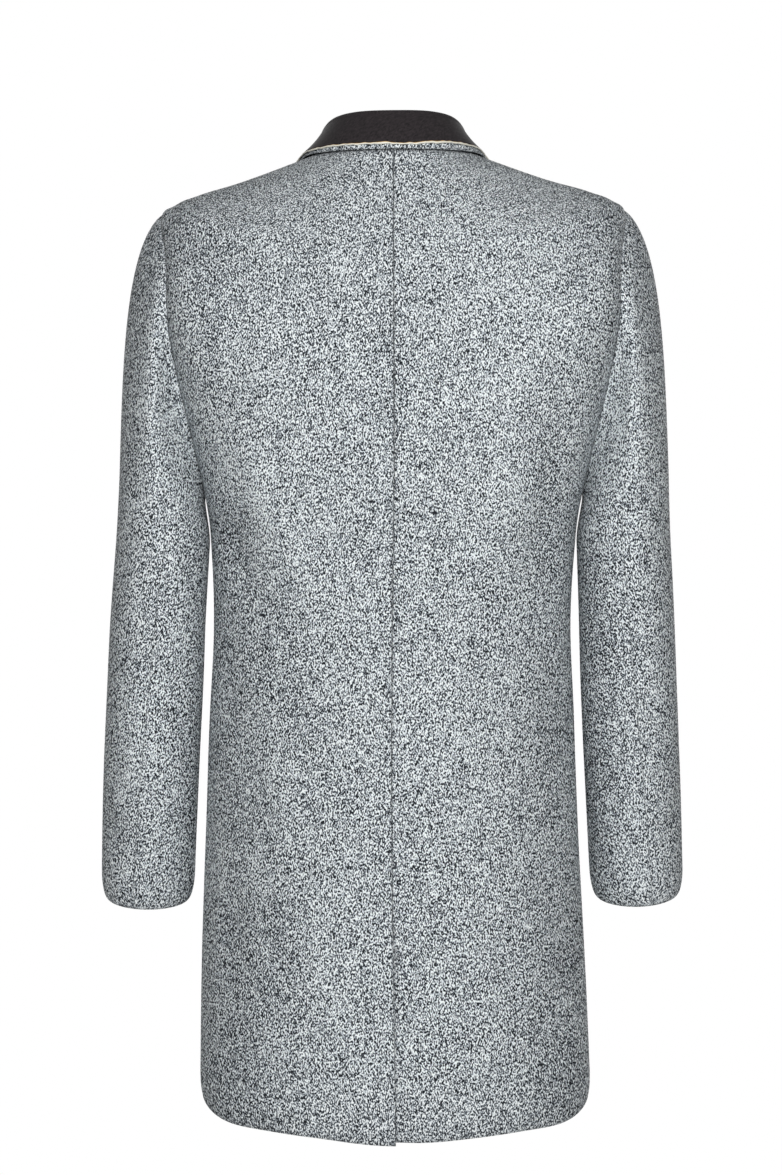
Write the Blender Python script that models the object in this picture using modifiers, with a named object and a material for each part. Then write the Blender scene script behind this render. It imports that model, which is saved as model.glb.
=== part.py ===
"""Thigh-length single-breasted wool coat with a dark turn-down collar, filled out as if worn.

Metres, +Z up. The wearer faces -Y, so the back of the coat faces +Y and the wearer's left is +X.
The origin lies between the shoulders at the height of the neck points, where the wearer carries the coat.

The body is one smooth surface through a table of rings, from the hem up over the shoulders to the neck.
A point on it has an angle round the body (0 at centre back, a quarter turn at the side, a half turn at
centre front) and a station, which counts the rings from the hem up. Each panel is a stretch of that
surface between two edges, and what lies on a panel is the same surface moved out.
"""

import math

import bmesh
import bpy
import numpy as np
from mathutils import Vector

COAT = "loden_coat"
LEFT, RIGHT = 1, -1
QUARTER, HALF = math.pi / 2, math.pi
UP = np.array((0.0, 0.0, 1.0))

# Cloth and clearances
CLOTH = 0.003
COLLAR_CLOTH = 0.0025
NAPPED_CLOTH = 0.0015
SEAM_GAP = 0.0003
LAP_GAP = 0.0005
# Wider clearances where facets of unlike grids lie on each other
VENT_GAP = 0.0013
FRONT_GAP = 0.0009
FALL_GAP = 0.0012
REST_GAP = 0.0011
# Small step by which a surface's slopes are taken
SLOPE_STEP = 1e-4

# Rings of the body's outer face. Each stands at its height at the sides, where its width is half_width,
# and rises by back_rise and front_rise on the centre lines. A squareness of 2 is an ellipse.
# height, side_y, half_width, back_depth, front_depth, back_rise, front_rise, squareness
BODY_RINGS = {
    "hem": (-0.890, 0.000, 0.1854, 0.138, 0.146, -0.016, 0.002, 2.15),
    "skirt": (-0.760, 0.000, 0.1818, 0.139, 0.146, -0.012, 0.000, 2.1),
    "seat": (-0.630, 0.000, 0.1763, 0.136, 0.143, -0.006, 0.000, 2.1),
    "hip": (-0.530, 0.000, 0.1729, 0.126, 0.139, -0.002, 0.000, 2.1),
    "waist": (-0.445, 0.000, 0.1692, 0.116, 0.134, 0.000, 0.000, 2.2),
    "ribs": (-0.375, 0.000, 0.1718, 0.118, 0.136, 0.000, 0.000, 2.4),
    "armpit": (-0.315, 0.000, 0.1790, 0.126, 0.140, 0.000, 0.000, 2.6),
    "blade": (-0.180, 0.000, 0.2075, 0.131, 0.138, -0.030, -0.035, 3.0),
    "upper": (-0.095, 0.001, 0.2140, 0.126, 0.131, -0.052, -0.072, 2.8),
    "tip": (-0.0485, 0.002, 0.2175, 0.119, 0.124, -0.0595, -0.0875, 2.6),
    "shoulder": (-0.0349, 0.003, 0.1860, 0.112, 0.116, -0.0495, -0.0815, 2.4),
    "yoke": (-0.0208, 0.005, 0.1400, 0.098, 0.103, -0.032, -0.077, 2.2),
    "neck": (0.003, 0.008, 0.0720, 0.072, 0.085, -0.002, -0.075, 2.0),
}
HEM = 0
ARMPIT, BLADE, TIP, NECK = (list(BODY_RINGS).index(name) for name in ("armpit", "blade", "tip", "neck"))
# Columns of the table
HALF_WIDTH, BACK_DEPTH, FRONT_DEPTH = 2, 3, 4

# The coat as it hangs: the right side a little higher, but not the hem, and each height swung to a side
SIDE_TILT = 0.010
TILT_FROM, TILT_FULL = -0.86, -0.74
# height, shift to the left
SWAY = (
    (-0.890, -0.0024),
    (-0.740, 0.0000),
    (-0.660, 0.0009),
    (-0.560, 0.0013),
    (-0.440, 0.0008),
    (-0.300, -0.0010),
    (-0.050, -0.0003),
)

# Soft drag folds of the body, from a first to a last point in the back or front view
# x_first, z_first, x_last, z_last, height, half_breadth
BACK_FOLDS = (
    (0.165, -0.300, 0.105, -0.480, -0.0035, 0.030),
    (0.150, -0.240, 0.085, -0.430, 0.0030, 0.028),
    (-0.165, -0.300, -0.110, -0.460, -0.0030, 0.028),
    (-0.140, -0.200, -0.095, -0.400, 0.0030, 0.032),
    (0.150, -0.300, 0.152, -1.100, -0.0035, 0.034),
    (-0.148, -0.300, -0.150, -1.100, -0.0032, 0.034),
)
FRONT_FOLDS = (
    (0.160, -0.300, 0.095, -0.460, -0.0030, 0.030),
    (-0.160, -0.300, -0.100, -0.450, -0.0030, 0.030),
    (0.100, -0.560, 0.120, -0.850, 0.0025, 0.040),
    (-0.105, -0.580, -0.120, -0.850, 0.0025, 0.040),
)
# Share of a fold's length over which each end fades, and how far round the side the folds fade
FOLD_FADE = 0.35
SIDE_FADE = 0.30

# How far the back stands out over the shoulder blade, most at the middle of the armhole's height
BACK_FULLNESS = 0.040

# Armholes: how far each edge scoops in from the side line, and how square the scoop is
ARMHOLE_BACK = math.radians(20)
ARMHOLE_FRONT = math.radians(25)
ARMHOLE_ROUND = 0.6

# Back vent, in stations: the seam ends at the top, and below it the underlap is tucked in and then widens
VENT_TOP = 1.46
VENT_TUCKED = 1.36
VENT_FULL = 1.12
VENT_LAP = 0.042
VENT_BLEND = 0.030
VENT_TUCK = CLOTH + VENT_GAP
VENT_COLUMNS = 3

# Front closing, with the roll line of the lapels in the front view
FRONT_LAP = 0.022
FRONT_LIFT = CLOTH + FRONT_GAP
LIFT_FROM, LIFT_FULL = 0.105, 0.048
ROLL_FOOT = (-FRONT_LAP, -0.270)
ROLL_HEAD = (0.062, -0.010)
LIFT_FADE = (BLADE + 0.4, BLADE + 1.2)
# First and last angle and number of steps of the search for the roll line on a ring
ROLL_SEARCH = (HALF + 0.4, QUARTER, 400)
# Search for a place on the front: first guess, rounds and longest move
GUESS_WIDTH = 0.2
GUESS_HEIGHTS, GUESS_STATIONS = (-0.90, -0.31, -0.07), (HEM, ARMPIT, NECK)
SEARCH_ROUNDS, LONGEST_MOVE = 30, 0.2

# Lapels in the front view: the foot of each on the roll line and on its outer edge.
# The right lapel begins where it comes out from under the left front.
LAPEL_FOOT = {LEFT: -0.266, RIGHT: -0.196}
LAPEL_EDGE_FROM = {LEFT: 0.015, RIGHT: 0.110}
LAPEL_HEAD = -0.073
# fraction of the way up, x, z
LAPEL_EDGE = (
    (0.00, 0.000, -0.262),
    (0.30, 0.056, -0.205),
    (0.60, 0.098, -0.150),
    (0.85, 0.118, -0.112),
    (1.00, 0.123, -0.094),
)
LAPEL_ROWS, LAPEL_COLUMNS = 12, 5

# Sleeves below the armhole: rings of the outer face from the upper arm to the cuff
# height, mid_x, mid_y, half_x, half_y, back_drop, inner_drop
SLEEVE_RINGS = {
    "upper_arm": (-0.365, 0.2183, 0.004, 0.0442, 0.072, 0.000, 0.0000),
    "above_elbow": (-0.430, 0.2216, 0.006, 0.0448, 0.067, 0.000, 0.0000),
    "elbow": (-0.500, 0.2246, 0.002, 0.0453, 0.062, 0.002, 0.0005),
    "forearm": (-0.600, 0.2303, -0.014, 0.0452, 0.057, 0.004, 0.0012),
    "cuff": (-0.702, 0.2355, -0.034, 0.0443, 0.052, 0.006, 0.0020),
}
# Directions in which the sleeve cap leaves the armhole, with the reach of each as its length
CAP_TOP = (0.134, 0.000, -0.095)
CAP_BACK = (0.060, 0.020, -0.090)
CAP_FRONT = (0.060, -0.034, -0.090)
CAP_UNDER = (0.006, 0.000, -0.050)
# How far up each line of the sleeve is already straight: outer, back and front, under
CAP_FALL = (0.330, 0.190, 0.055)
# Sleeve seams round the sleeve, in degrees from the outer line over the back
# fraction of length, back, front
SLEEVE_SEAMS = ((0.0, 100, 240), (0.4, 92, 232), (1.0, 76, 222))
SLEEVE_CAP_ROWS, SLEEVE_ROWS = 8, 8
SLEEVE_GAP = 0.00045

# Collar, row by row from centre back to the notch. The seam, the middle and the edge of the fall are
# places on the body, each with its angle and how many stations it lies below the neck ring.
# The stand is the height of the neck leaf, with its lean towards the neck.
# The bulge is how far the middle of a raised fall stands out from a straight line.
# seam_deg, seam_below, stand, lean, bulge, mid_deg, mid_below, edge_deg, edge_below
COLLAR_ROWS = (
    (0, 0.00, 0.0285, 0.011, 0.0020, 0, 0.03, 0, 0.10),
    (35, 0.00, 0.0282, 0.010, 0.0010, 34, 0.04, 33, 0.13),
    (64, 0.00, 0.0248, 0.010, -0.0010, 63, 0.07, 61, 0.17),
    (90, 0.00, 0.0138, 0.007, -0.0015, 90, 0.12, 90, 0.22),
    (112, 0.00, 0.0050, 0.001, -0.0010, 111, 0.22, 106, 0.46),
    (154, 0.45, 0.0000, 0.000, 0.0000, 135, 0.75, 123, 0.90),
)
STAND_LAST_ROW = 3.6
STAND_FULL = 0.006
COLLAR_FOLD = 2 * COLLAR_CLOTH + FALL_GAP
COLLAR_REST = COLLAR_CLOTH + REST_GAP
COLLAR_COLUMNS = 26
STAND_ROWS, FALL_ROWS, ROLL_ROWS = 3, 6, 4
ROLL_TURN = (math.radians(35), math.radians(180))
COLLAR_BORDER = 0.0060
PIPING = 0.0016
# Shares of the fall on either side of the piping, for the direction in which it stands out
PIPING_STRIP = (-0.05, 0.00, 0.05)

# Buttons
BUTTON_HEIGHTS = (-0.305, -0.425, -0.545)
BUTTON_RADIUS, BUTTON_THICKNESS = 0.014, 0.0042
BUTTON_RIM, BUTTON_DISH = 0.0035, 0.0012
BUTTON_STEPS = 20
MERGE = 1e-5

# Rows and columns of the body panels
LOWER_ROWS, ARMHOLE_ROWS, UPPER_ROWS = 13, 10, 6
PANEL_COLUMNS = 10
# Armhole row, counted from the shoulder tip, at which the sleeve seams begin
SEAM_ROW = 6
SHARP_EDGE = math.radians(50)

# Linear base colour, roughness
FINISHES = {
    "coat_cloth": ((0.36, 0.39, 0.41), 0.95),
    "dark_felt": ((0.031, 0.026, 0.029), 0.90),
    "cream_cord": ((0.90, 0.80, 0.62), 0.70),
    "horn": ((0.035, 0.027, 0.022), 0.35),
}


def unit(vectors):
    """The same directions with length 1."""
    return vectors / np.linalg.norm(vectors, axis=-1, keepdims=True)


def smooth_step(value):
    """0 up to 0, 1 from 1 on, with an even slope between."""
    t = np.clip(value, 0, 1)
    return t * t * (3 - 2 * t)


def hermite(first, first_slope, last, last_slope, t):
    """Cubic from the first to the last point with the given slopes at its ends."""
    rest = 1 - t
    return (
        first * (1 + 2 * t) * rest**2
        + first_slope * t * rest**2
        + last * t**2 * (3 - 2 * t)
        - last_slope * t**2 * rest
    )


def spline(rows, station):
    """Smooth curve through the rows of a table, read at whole or part row numbers."""
    table = np.array(list(rows), float)
    slopes = np.gradient(table, axis=0)
    station = np.asarray(station, float)
    low = np.clip(np.floor(station).astype(int), 0, len(table) - 2)
    t = (station - low)[..., None]
    return hermite(table[low], slopes[low], table[low + 1], slopes[low + 1], t)


def line_folds(x, z, folds):
    """Height of the soft folds at a point of the back or front view."""
    total = np.zeros_like(x)
    for x_first, z_first, x_last, z_last, height, half_breadth in folds:
        run = np.hypot(x_last - x_first, z_last - z_first)
        along_x, along_z = (x_last - x_first) / run, (z_last - z_first) / run
        along = ((x - x_first) * along_x + (z - z_first) * along_z) / run
        aside = (x - x_first) * along_z - (z - z_first) * along_x
        ends = smooth_step(along / FOLD_FADE) * smooth_step((1 - along) / FOLD_FADE)
        total = total + height * ends * np.exp(-((aside / half_breadth) ** 2))
    return total


def armhole_share(station):
    """How far up the armhole's height a station lies."""
    return np.clip((station - ARMPIT) / (TIP - ARMPIT), 0, 1)


def body(angle, station):
    """Outer face of the body without folds, for the wearer's left half."""
    ring = np.moveaxis(spline(BODY_RINGS.values(), station), -1, 0)
    height, side_y, half_width, back_depth, front_depth, back_rise, front_rise, square = ring
    sine, cosine = np.sin(angle), np.cos(angle)
    radius = (np.abs(sine) ** square + np.abs(cosine) ** square) ** (-1 / square)
    depth = np.where(cosine > 0, back_depth, front_depth)
    rise = np.where(cosine > 0, back_rise, front_rise)
    full = BACK_FULLNESS * np.sin(HALF * armhole_share(station)) ** 2 * sine**2
    x = half_width * radius * sine
    y = side_y + depth * radius * cosine + np.where(cosine > 0, full, 0)
    return np.stack([x, y, height + rise * cosine**2], axis=-1)


def outward(angle, station):
    """Unit normal of the body, away from the wearer."""
    along = body(angle + SLOPE_STEP, station) - body(angle - SLOPE_STEP, station)
    up = body(angle, station + SLOPE_STEP) - body(angle, station - SLOPE_STEP)
    return unit(np.cross(up, along))


def on_body(side, angle, station, offset):
    """Points of the folded body on one side, moved out by the offset."""
    angle, station = np.broadcast_arrays(np.asarray(angle, float), np.asarray(station, float))
    base = body(angle, station)
    x, z = side * base[..., 0], base[..., 2]
    back_share = smooth_step(np.cos(angle) / SIDE_FADE)
    front_share = smooth_step(-np.cos(angle) / SIDE_FADE)
    fold = back_share * line_folds(x, z, BACK_FOLDS) + front_share * line_folds(x, z, FRONT_FOLDS)
    points = base + outward(angle, station) * (fold + offset)[..., None]
    return points * (side, 1, 1)


def half_width(station):
    """Half the body's width at a station."""
    return spline(BODY_RINGS.values(), station)[..., HALF_WIDTH]


def armhole_angle(station, scoop):
    """How far the armhole edge lies in from the side line at a station."""
    return scoop * np.sin(HALF * armhole_share(station)) ** ARMHOLE_ROUND


def side_trim(station, depth_column):
    """Half the seam gap at the side and shoulder seams, as an angle."""
    depth = spline(BODY_RINGS.values(), station)[..., depth_column]
    return SEAM_GAP / 2 / depth


def back_side_edge(station):
    """Angle of a back's outer edge: side seam, armhole, then shoulder seam."""
    return QUARTER - armhole_angle(station, ARMHOLE_BACK) - side_trim(station, BACK_DEPTH)


def front_side_edge(station):
    """Angle of a front's outer edge: side seam, armhole, then shoulder seam."""
    return QUARTER + armhole_angle(station, ARMHOLE_FRONT) + side_trim(station, FRONT_DEPTH)


def roll_x(z):
    """Roll line of the lapel in the front view."""
    (foot_x, foot_z), (head_x, head_z) = ROLL_FOOT, ROLL_HEAD
    return foot_x + (head_x - foot_x) * (z - foot_z) / (head_z - foot_z)


def roll_angle(station):
    """Angle at which each ring crosses the roll line."""
    angles = np.linspace(*ROLL_SEARCH)
    found = []
    for each in np.atleast_1d(station):
        ring = body(angles, np.full_like(angles, each))
        found.append(np.interp(0, ring[:, 0] - roll_x(ring[:, 2]), angles))
    return np.array(found)


def front_edge(station):
    """Angle of a front's free edge: past centre front below the break, along the roll line above."""
    below = HALF + np.arcsin(FRONT_LAP / half_width(station))
    return np.minimum(below, roll_angle(station))


def front_lift(side, angle, station):
    """How far the left front is raised to lie over the right one."""
    if side == RIGHT:
        return np.zeros_like(angle)
    x = half_width(station) * np.sin(angle)
    start, end = LIFT_FADE
    near = smooth_step((LIFT_FROM - x) / (LIFT_FROM - LIFT_FULL))
    return FRONT_LIFT * near * smooth_step((end - station) / (end - start))


def front_place(x, z):
    """Angle and station of the points with this x and z on the front, by Newton's method."""
    x, z = np.broadcast_arrays(np.asarray(x, float), np.asarray(z, float))
    angle = HALF - np.arcsin(x / GUESS_WIDTH)
    station = np.interp(z, GUESS_HEIGHTS, GUESS_STATIONS)
    for _ in range(SEARCH_ROUNDS):
        here = body(angle, station)[..., (0, 2)] - np.stack([x, z], axis=-1)
        by_angle = (body(angle + SLOPE_STEP, station) - body(angle - SLOPE_STEP, station))[..., (0, 2)]
        by_station = (body(angle, station + SLOPE_STEP) - body(angle, station - SLOPE_STEP))[..., (0, 2)]
        slopes = np.stack([by_angle, by_station], axis=-1) / (2 * SLOPE_STEP)
        moves = np.linalg.solve(slopes, here[..., None])[..., 0]
        moves = np.clip(moves, -LONGEST_MOVE, LONGEST_MOVE)
        angle = angle - moves[..., 0]
        station = station - moves[..., 1]
    return angle, station


def settled(points):
    """Points of the even coat as it hangs, tilted and swung."""
    x, y, z = np.moveaxis(points, -1, 0)
    tilt = SIDE_TILT * smooth_step((z - TILT_FROM) / (TILT_FULL - TILT_FROM))
    heights, shifts = np.array(SWAY).T
    return np.stack([x + np.interp(z, heights, shifts), y, z - tilt * x], axis=-1)


def make_wall(name, finish, outer, inner):
    """One closed sheet of cloth: a flat grid extruded once, its two faces moved to two grids of points."""
    rows, columns = outer.shape[:2]
    mesh = bpy.data.meshes.new(name)
    sheet = bmesh.new()
    bmesh.ops.create_grid(sheet, x_segments=columns - 1, y_segments=rows - 1, size=0.5)
    inner_verts = list(sheet.verts)
    extruded = bmesh.ops.extrude_face_region(sheet, geom=list(sheet.faces))
    outer_verts = [item for item in extruded["geom"] if isinstance(item, bmesh.types.BMVert)]
    for verts, points in ((inner_verts, settled(inner)), (outer_verts, settled(outer))):
        for vert in verts:
            column = round((vert.co.x + 0.5) * (columns - 1))
            row = round((vert.co.y + 0.5) * (rows - 1))
            vert.co = points[row, column]
    bmesh.ops.recalc_face_normals(sheet, faces=sheet.faces)
    sheet.to_mesh(mesh)
    sheet.free()
    mesh.shade_smooth()
    mesh.set_sharp_from_angle(angle=SHARP_EDGE)
    return add_part(name, mesh, finish)


def add_part(name, data, finish):
    part = bpy.data.objects.new(name, data)
    data.materials.append(bpy.data.materials[finish])
    bpy.data.collections[COAT].objects.link(part)
    return part


def make_finishes():
    for name, (colour, roughness) in FINISHES.items():
        material = bpy.data.materials.new(name)
        material.use_nodes = True
        shader = material.node_tree.nodes["Principled BSDF"]
        shader.inputs["Base Color"].default_value = (*colour, 1)
        shader.inputs["Roughness"].default_value = roughness
        material.diffuse_color = (*colour, 1)


def armhole_stations():
    """Rows along an armhole, closer together at the armpit and at the shoulder tip."""
    turn = np.linspace(0, HALF, ARMHOLE_ROWS + 1)
    return ARMPIT + (TIP - ARMPIT) * (1 - np.cos(turn)) / 2


def body_stations(*extra):
    """Rows of the body panels: even below, those of the armhole, even over the shoulder."""
    lower = np.linspace(HEM, ARMPIT, LOWER_ROWS)
    upper = np.linspace(TIP, NECK, UPPER_ROWS + 1)
    return np.unique(np.concatenate([lower, armhole_stations(), upper, extra]).round(6))


def panel_angles(first, last, columns=PANEL_COLUMNS):
    """Grid of angles, a row for each station, from the first edge to the last."""
    share = np.linspace(0, 1, columns + 1)
    return first[:, None] + (last - first)[:, None] * share


def body_panel(name, side, angles, stations, lift):
    stations = np.broadcast_to(stations[:, None], angles.shape)
    outer = on_body(side, angles, stations, lift)
    inner = on_body(side, angles, stations, lift - CLOTH)
    make_wall(name, "coat_cloth", outer, inner)


def make_backs():
    """Two back panels. Below the vent's top the right one is tucked in and runs on under the left."""
    stations = body_stations(VENT_TOP, (VENT_TOP + VENT_TUCKED) / 2, VENT_TUCKED, VENT_FULL)
    seam = SEAM_GAP / 2 / half_width(stations)
    side_edge = back_side_edge(stations)
    angles = panel_angles(seam, side_edge)
    body_panel("back_left", LEFT, angles, stations, np.zeros_like(angles))

    lap = VENT_LAP / half_width(stations) * smooth_step((VENT_TUCKED - stations) / (VENT_TUCKED - VENT_FULL))
    blended = VENT_BLEND / half_width(stations)
    by_vent = panel_angles(seam - lap, blended, VENT_COLUMNS)
    angles = np.hstack([by_vent[:, :-1], panel_angles(blended, side_edge)])
    tucked = smooth_step((VENT_TOP - stations) / (VENT_TOP - VENT_TUCKED))[:, None]
    from_centre = angles * half_width(stations)[:, None]
    tuck = tucked * (1 - smooth_step(from_centre / VENT_BLEND))
    body_panel("back_right", RIGHT, angles, stations, -VENT_TUCK * tuck)


def make_fronts():
    stations = body_stations()
    angles = panel_angles(front_side_edge(stations), front_edge(stations))
    for name, side in (("front_left", LEFT), ("front_right", RIGHT)):
        lift = front_lift(side, angles, np.broadcast_to(stations[:, None], angles.shape))
        body_panel(name, side, angles, stations, lift)


def make_lapels():
    """Each lapel lies on its own front, between the roll line and its outer edge."""
    table = np.array(LAPEL_EDGE)
    for name, side in (("lapel_left", LEFT), ("lapel_right", RIGHT)):
        up = np.linspace(0, 1, LAPEL_ROWS + 1)
        roll_z = LAPEL_FOOT[side] + (LAPEL_HEAD - LAPEL_FOOT[side]) * up
        roll = np.stack([roll_x(roll_z), roll_z], axis=-1)
        share = LAPEL_EDGE_FROM[side] + (1 - LAPEL_EDGE_FROM[side]) * up
        edge = np.stack([np.interp(share, table[:, 0], table[:, column]) for column in (1, 2)], axis=-1)
        across = np.linspace(0, 1, LAPEL_COLUMNS + 1)[:, None]
        view = roll[:, None] + (edge - roll)[:, None] * across
        angle, station = front_place(view[..., 0], view[..., 1])
        lift = front_lift(side, angle, station) + LAP_GAP
        outer = on_body(side, angle, station, lift + CLOTH)
        inner = on_body(side, angle, station, lift)
        make_wall(name, "coat_cloth", outer, inner)


def around(points):
    """Direction along a closed ring of points, whose last column runs on into the first."""
    return np.roll(points, -1, axis=-2) - np.roll(points, 1, axis=-2)


def armhole_loop():
    """Angles and stations of the armhole's edge, from the shoulder tip down the back and up the front."""
    rows = armhole_stations()
    back = QUARTER - armhole_angle(rows[:0:-1], ARMHOLE_BACK)
    front = QUARTER + armhole_angle(rows[:-1], ARMHOLE_FRONT)
    return np.concatenate([back, front]), np.concatenate([rows[:0:-1], rows[:-1]])


def loop_turns(points):
    """Turn of each armhole point round the sleeve: 0 at the shoulder tip, half a turn at the armpit."""
    steps = np.linalg.norm(np.roll(points, -1, axis=0) - points, axis=1)
    back, front = steps[:ARMHOLE_ROWS], steps[ARMHOLE_ROWS:]
    turns = np.concatenate([back / back.sum(), front / front.sum()]).cumsum() * HALF
    return np.concatenate([[0], turns[:-1]])


def cap_direction(turn):
    """Direction and reach of the sleeve cap where it leaves the armhole."""
    top = np.maximum(np.cos(turn), 0)[..., None] ** 2
    under = np.maximum(-np.cos(turn), 0)[..., None] ** 2
    side = np.where(np.sin(turn)[..., None] > 0, CAP_BACK, CAP_FRONT)
    return top * CAP_TOP + under * CAP_UNDER + (1 - top - under) * side


def sleeve_root():
    """Outer edge of the sleeve, just clear of the body's armhole edge, and its turns."""
    angle, station = armhole_loop()
    edge = body(angle, station)
    normal = outward(angle, station)
    away = unit(np.cross(around(edge), normal))
    turns = loop_turns(edge)
    turned_in = -np.sum(unit(cap_direction(turns)) * normal, axis=-1, keepdims=True)
    return edge + away * (SLEEVE_GAP + CLOTH * np.maximum(turned_in, 0)) + normal * SLEEVE_GAP, turns


def sleeve_ring(turn, station):
    """Sleeve below the cap, by its rings from the upper arm down."""
    ring = np.moveaxis(spline(SLEEVE_RINGS.values(), station), -1, 0)
    height, mid_x, mid_y, half_x, half_y, back_drop, inner_drop = ring
    outer, back = np.cos(turn), np.sin(turn)
    height = height - back_drop * back + inner_drop * outer
    return np.stack([mid_x + half_x * outer, mid_y + half_y * back, height], axis=-1)


def ring_turns(station):
    """Even turns between the sleeve's two seams, first the outer line and then on over the back."""
    parts, back_seam, front_seam = np.array(SLEEVE_SEAMS).T
    share = station / (len(SLEEVE_RINGS) - 1)
    back = np.interp(share, parts, np.radians(back_seam))
    front = np.interp(share, parts, np.radians(front_seam))
    under_columns = 2 * (ARMHOLE_ROWS - SEAM_ROW)
    over = np.linspace(front - 2 * HALF, back, 2 * SEAM_ROW + 1)
    under = np.linspace(back, front, under_columns + 1)
    ring = np.concatenate([over[SEAM_ROW:-1], under[:-1], over[:SEAM_ROW] + 2 * HALF])
    return np.moveaxis(ring, 0, -1)


def sleeve_grid():
    """Outer and inner faces of the left sleeve, a row for each ring from the armhole to the cuff."""
    root, root_turns = sleeve_root()
    station = np.zeros(1)
    turns = ring_turns(station)
    ring = sleeve_ring(turns, station[:, None])
    below = sleeve_ring(turns, station[:, None] + SLOPE_STEP)
    outer, side, under = CAP_FALL
    cosine = np.cos(turns)[..., None]
    fall = side + np.where(cosine > 0, outer - side, under - side) * cosine**2
    place = np.linspace(0, 1, SLEEVE_CAP_ROWS + 1)[:-1, None, None]
    cap = hermite(root, cap_direction(root_turns), ring, unit(below - ring) * fall, place)
    stations = np.linspace(0, len(SLEEVE_RINGS) - 1, SLEEVE_ROWS + 1)
    tube = sleeve_ring(ring_turns(stations), stations[:, None])
    face = np.concatenate([cap, tube])
    normal = unit(np.cross(np.gradient(face, axis=0), around(face)))
    return face, face - normal * CLOTH


def sewn_edges(points):
    """The same grid with its first and last columns drawn in by half a seam's gap."""
    points = points.copy()
    for edge, inside in ((0, 1), (-1, -2)):
        points[:, edge] += unit(points[:, inside] - points[:, edge]) * SEAM_GAP / 2
    return points


def make_sleeves():
    """Two-piece sleeves: the top sleeve runs over the outer line, the under sleeve round the inner one."""
    faces = sleeve_grid()
    over = np.arange(-SEAM_ROW, SEAM_ROW + 1)
    under = np.arange(SEAM_ROW, 2 * ARMHOLE_ROWS - SEAM_ROW + 1)
    for word, side in (("left", LEFT), ("right", RIGHT)):
        for piece, columns in (("top_sleeve", over), ("under_sleeve", under)):
            outer, inner = (sewn_edges(face[:, columns]) * (side, 1, 1) for face in faces)
            make_wall(f"{piece}_{word}", "coat_cloth", outer, inner)


def resting_on_body(angle, station):
    """Outer face of collar cloth that lies on the body."""
    return body(angle, station) + outward(angle, station) * COLLAR_REST


def collar_frame(row):
    """Points and directions of the left half of the collar at whole or part rows of its table."""
    columns = np.moveaxis(spline(COLLAR_ROWS, row), -1, 0)
    seam_deg, seam_below, stand, lean, bulge, mid_deg, mid_below, edge_deg, edge_below = columns
    stand = np.maximum(stand, 0)
    lean = np.maximum(lean, 0)
    seam_angle = np.radians(seam_deg)
    seam = body(seam_angle, NECK - seam_below)
    seam_normal = outward(seam_angle, NECK - seam_below)
    out = unit(seam_normal * (1, 1, 0))
    foot = seam + UP * SEAM_GAP - out * COLLAR_CLOTH
    top = foot + UP * stand[..., None] - out * lean[..., None]
    raised = smooth_step(stand / STAND_FULL)[..., None]
    lying = resting_on_body(seam_angle, NECK - seam_below)
    fall_top = raised * (top + out * COLLAR_FOLD) + (1 - raised) * lying
    edge = resting_on_body(np.radians(edge_deg), NECK - edge_below)
    middle = resting_on_body(np.radians(mid_deg), NECK - mid_below)
    between = (fall_top + edge) / 2 + out * bulge[..., None]
    middle = raised * between + (1 - raised) * middle
    return foot, top, out, raised, fall_top, middle, edge


def both_halves(half):
    """Grid from the right end to the left end, from the left half with its first column at centre back."""
    mirrored = half[:, :0:-1] * (-1, 1, 1)
    return np.concatenate([mirrored, half], axis=1)


def grid_normals(points):
    """Unit normals of a grid of points, on the side away from the neck."""
    return unit(np.cross(np.gradient(points, axis=1), np.gradient(points, axis=0)))


def collar_wall(name, finish, half, inner_offset, outer_offset):
    points = both_halves(half)
    normal = grid_normals(points)
    make_wall(name, finish, points + normal * outer_offset, points + normal * inner_offset)


def fall_curve(row, share):
    """Outer face of the fall from its top to its edge."""
    *_, fall_top, middle, edge = collar_frame(row)
    return curve_through(fall_top, middle, edge, share)


def curve_through(first, middle, last, share):
    """Quadratic curve through three points at shares 0, 0.5 and 1."""
    t = share[..., None]
    return first * (1 - t) * (1 - 2 * t) + middle * 4 * t * (1 - t) + last * t * (2 * t - 1)


def make_collar():
    rows = np.linspace(0, len(COLLAR_ROWS) - 1, COLLAR_COLUMNS // 2 + 1)
    share = np.linspace(0, 1, FALL_ROWS + 1)[:, None]
    _, top, out, raised, fall_top, _, _ = collar_frame(rows)

    stand_rows = np.linspace(0, STAND_LAST_ROW, COLLAR_COLUMNS // 2 + 1)
    foot, stand_top, *_ = collar_frame(stand_rows)
    up_share = np.linspace(1, 0, STAND_ROWS + 1)[:, None, None]
    stand = foot + (stand_top - foot) * up_share
    collar_wall("collar_stand", "dark_felt", stand, 0, COLLAR_CLOTH)

    fall = fall_curve(rows, np.broadcast_to(share, (len(share), len(rows))))
    collar_wall("collar_fall", "coat_cloth", fall, -COLLAR_CLOTH, 0)

    length = np.linalg.norm(np.diff(fall, axis=0), axis=-1).sum(axis=0)
    top_share = share * (1 - COLLAR_BORDER / length)
    on_fall = fall_curve(rows, top_share)
    least, most = ROLL_TURN
    turn = (least + (most - least) * raised[..., 0]) * np.linspace(1, 0, ROLL_ROWS + 1)[:-1, None]
    radius = COLLAR_FOLD / 2
    centre = fall_top - out * radius
    roll = centre + radius * (np.cos(turn)[..., None] * out + np.sin(turn)[..., None] * UP)
    collar_wall("collar_top", "dark_felt", np.concatenate([roll, on_fall]), LAP_GAP, LAP_GAP + NAPPED_CLOTH)

    below_top = top_share[-1] + (LAP_GAP + PIPING) / length
    strip = both_halves(fall_curve(rows, below_top + np.array(PIPING_STRIP)[:, None]))
    line = strip + grid_normals(strip) * (PIPING / 2 + LAP_GAP)
    make_piping(settled(line[1]))


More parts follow.
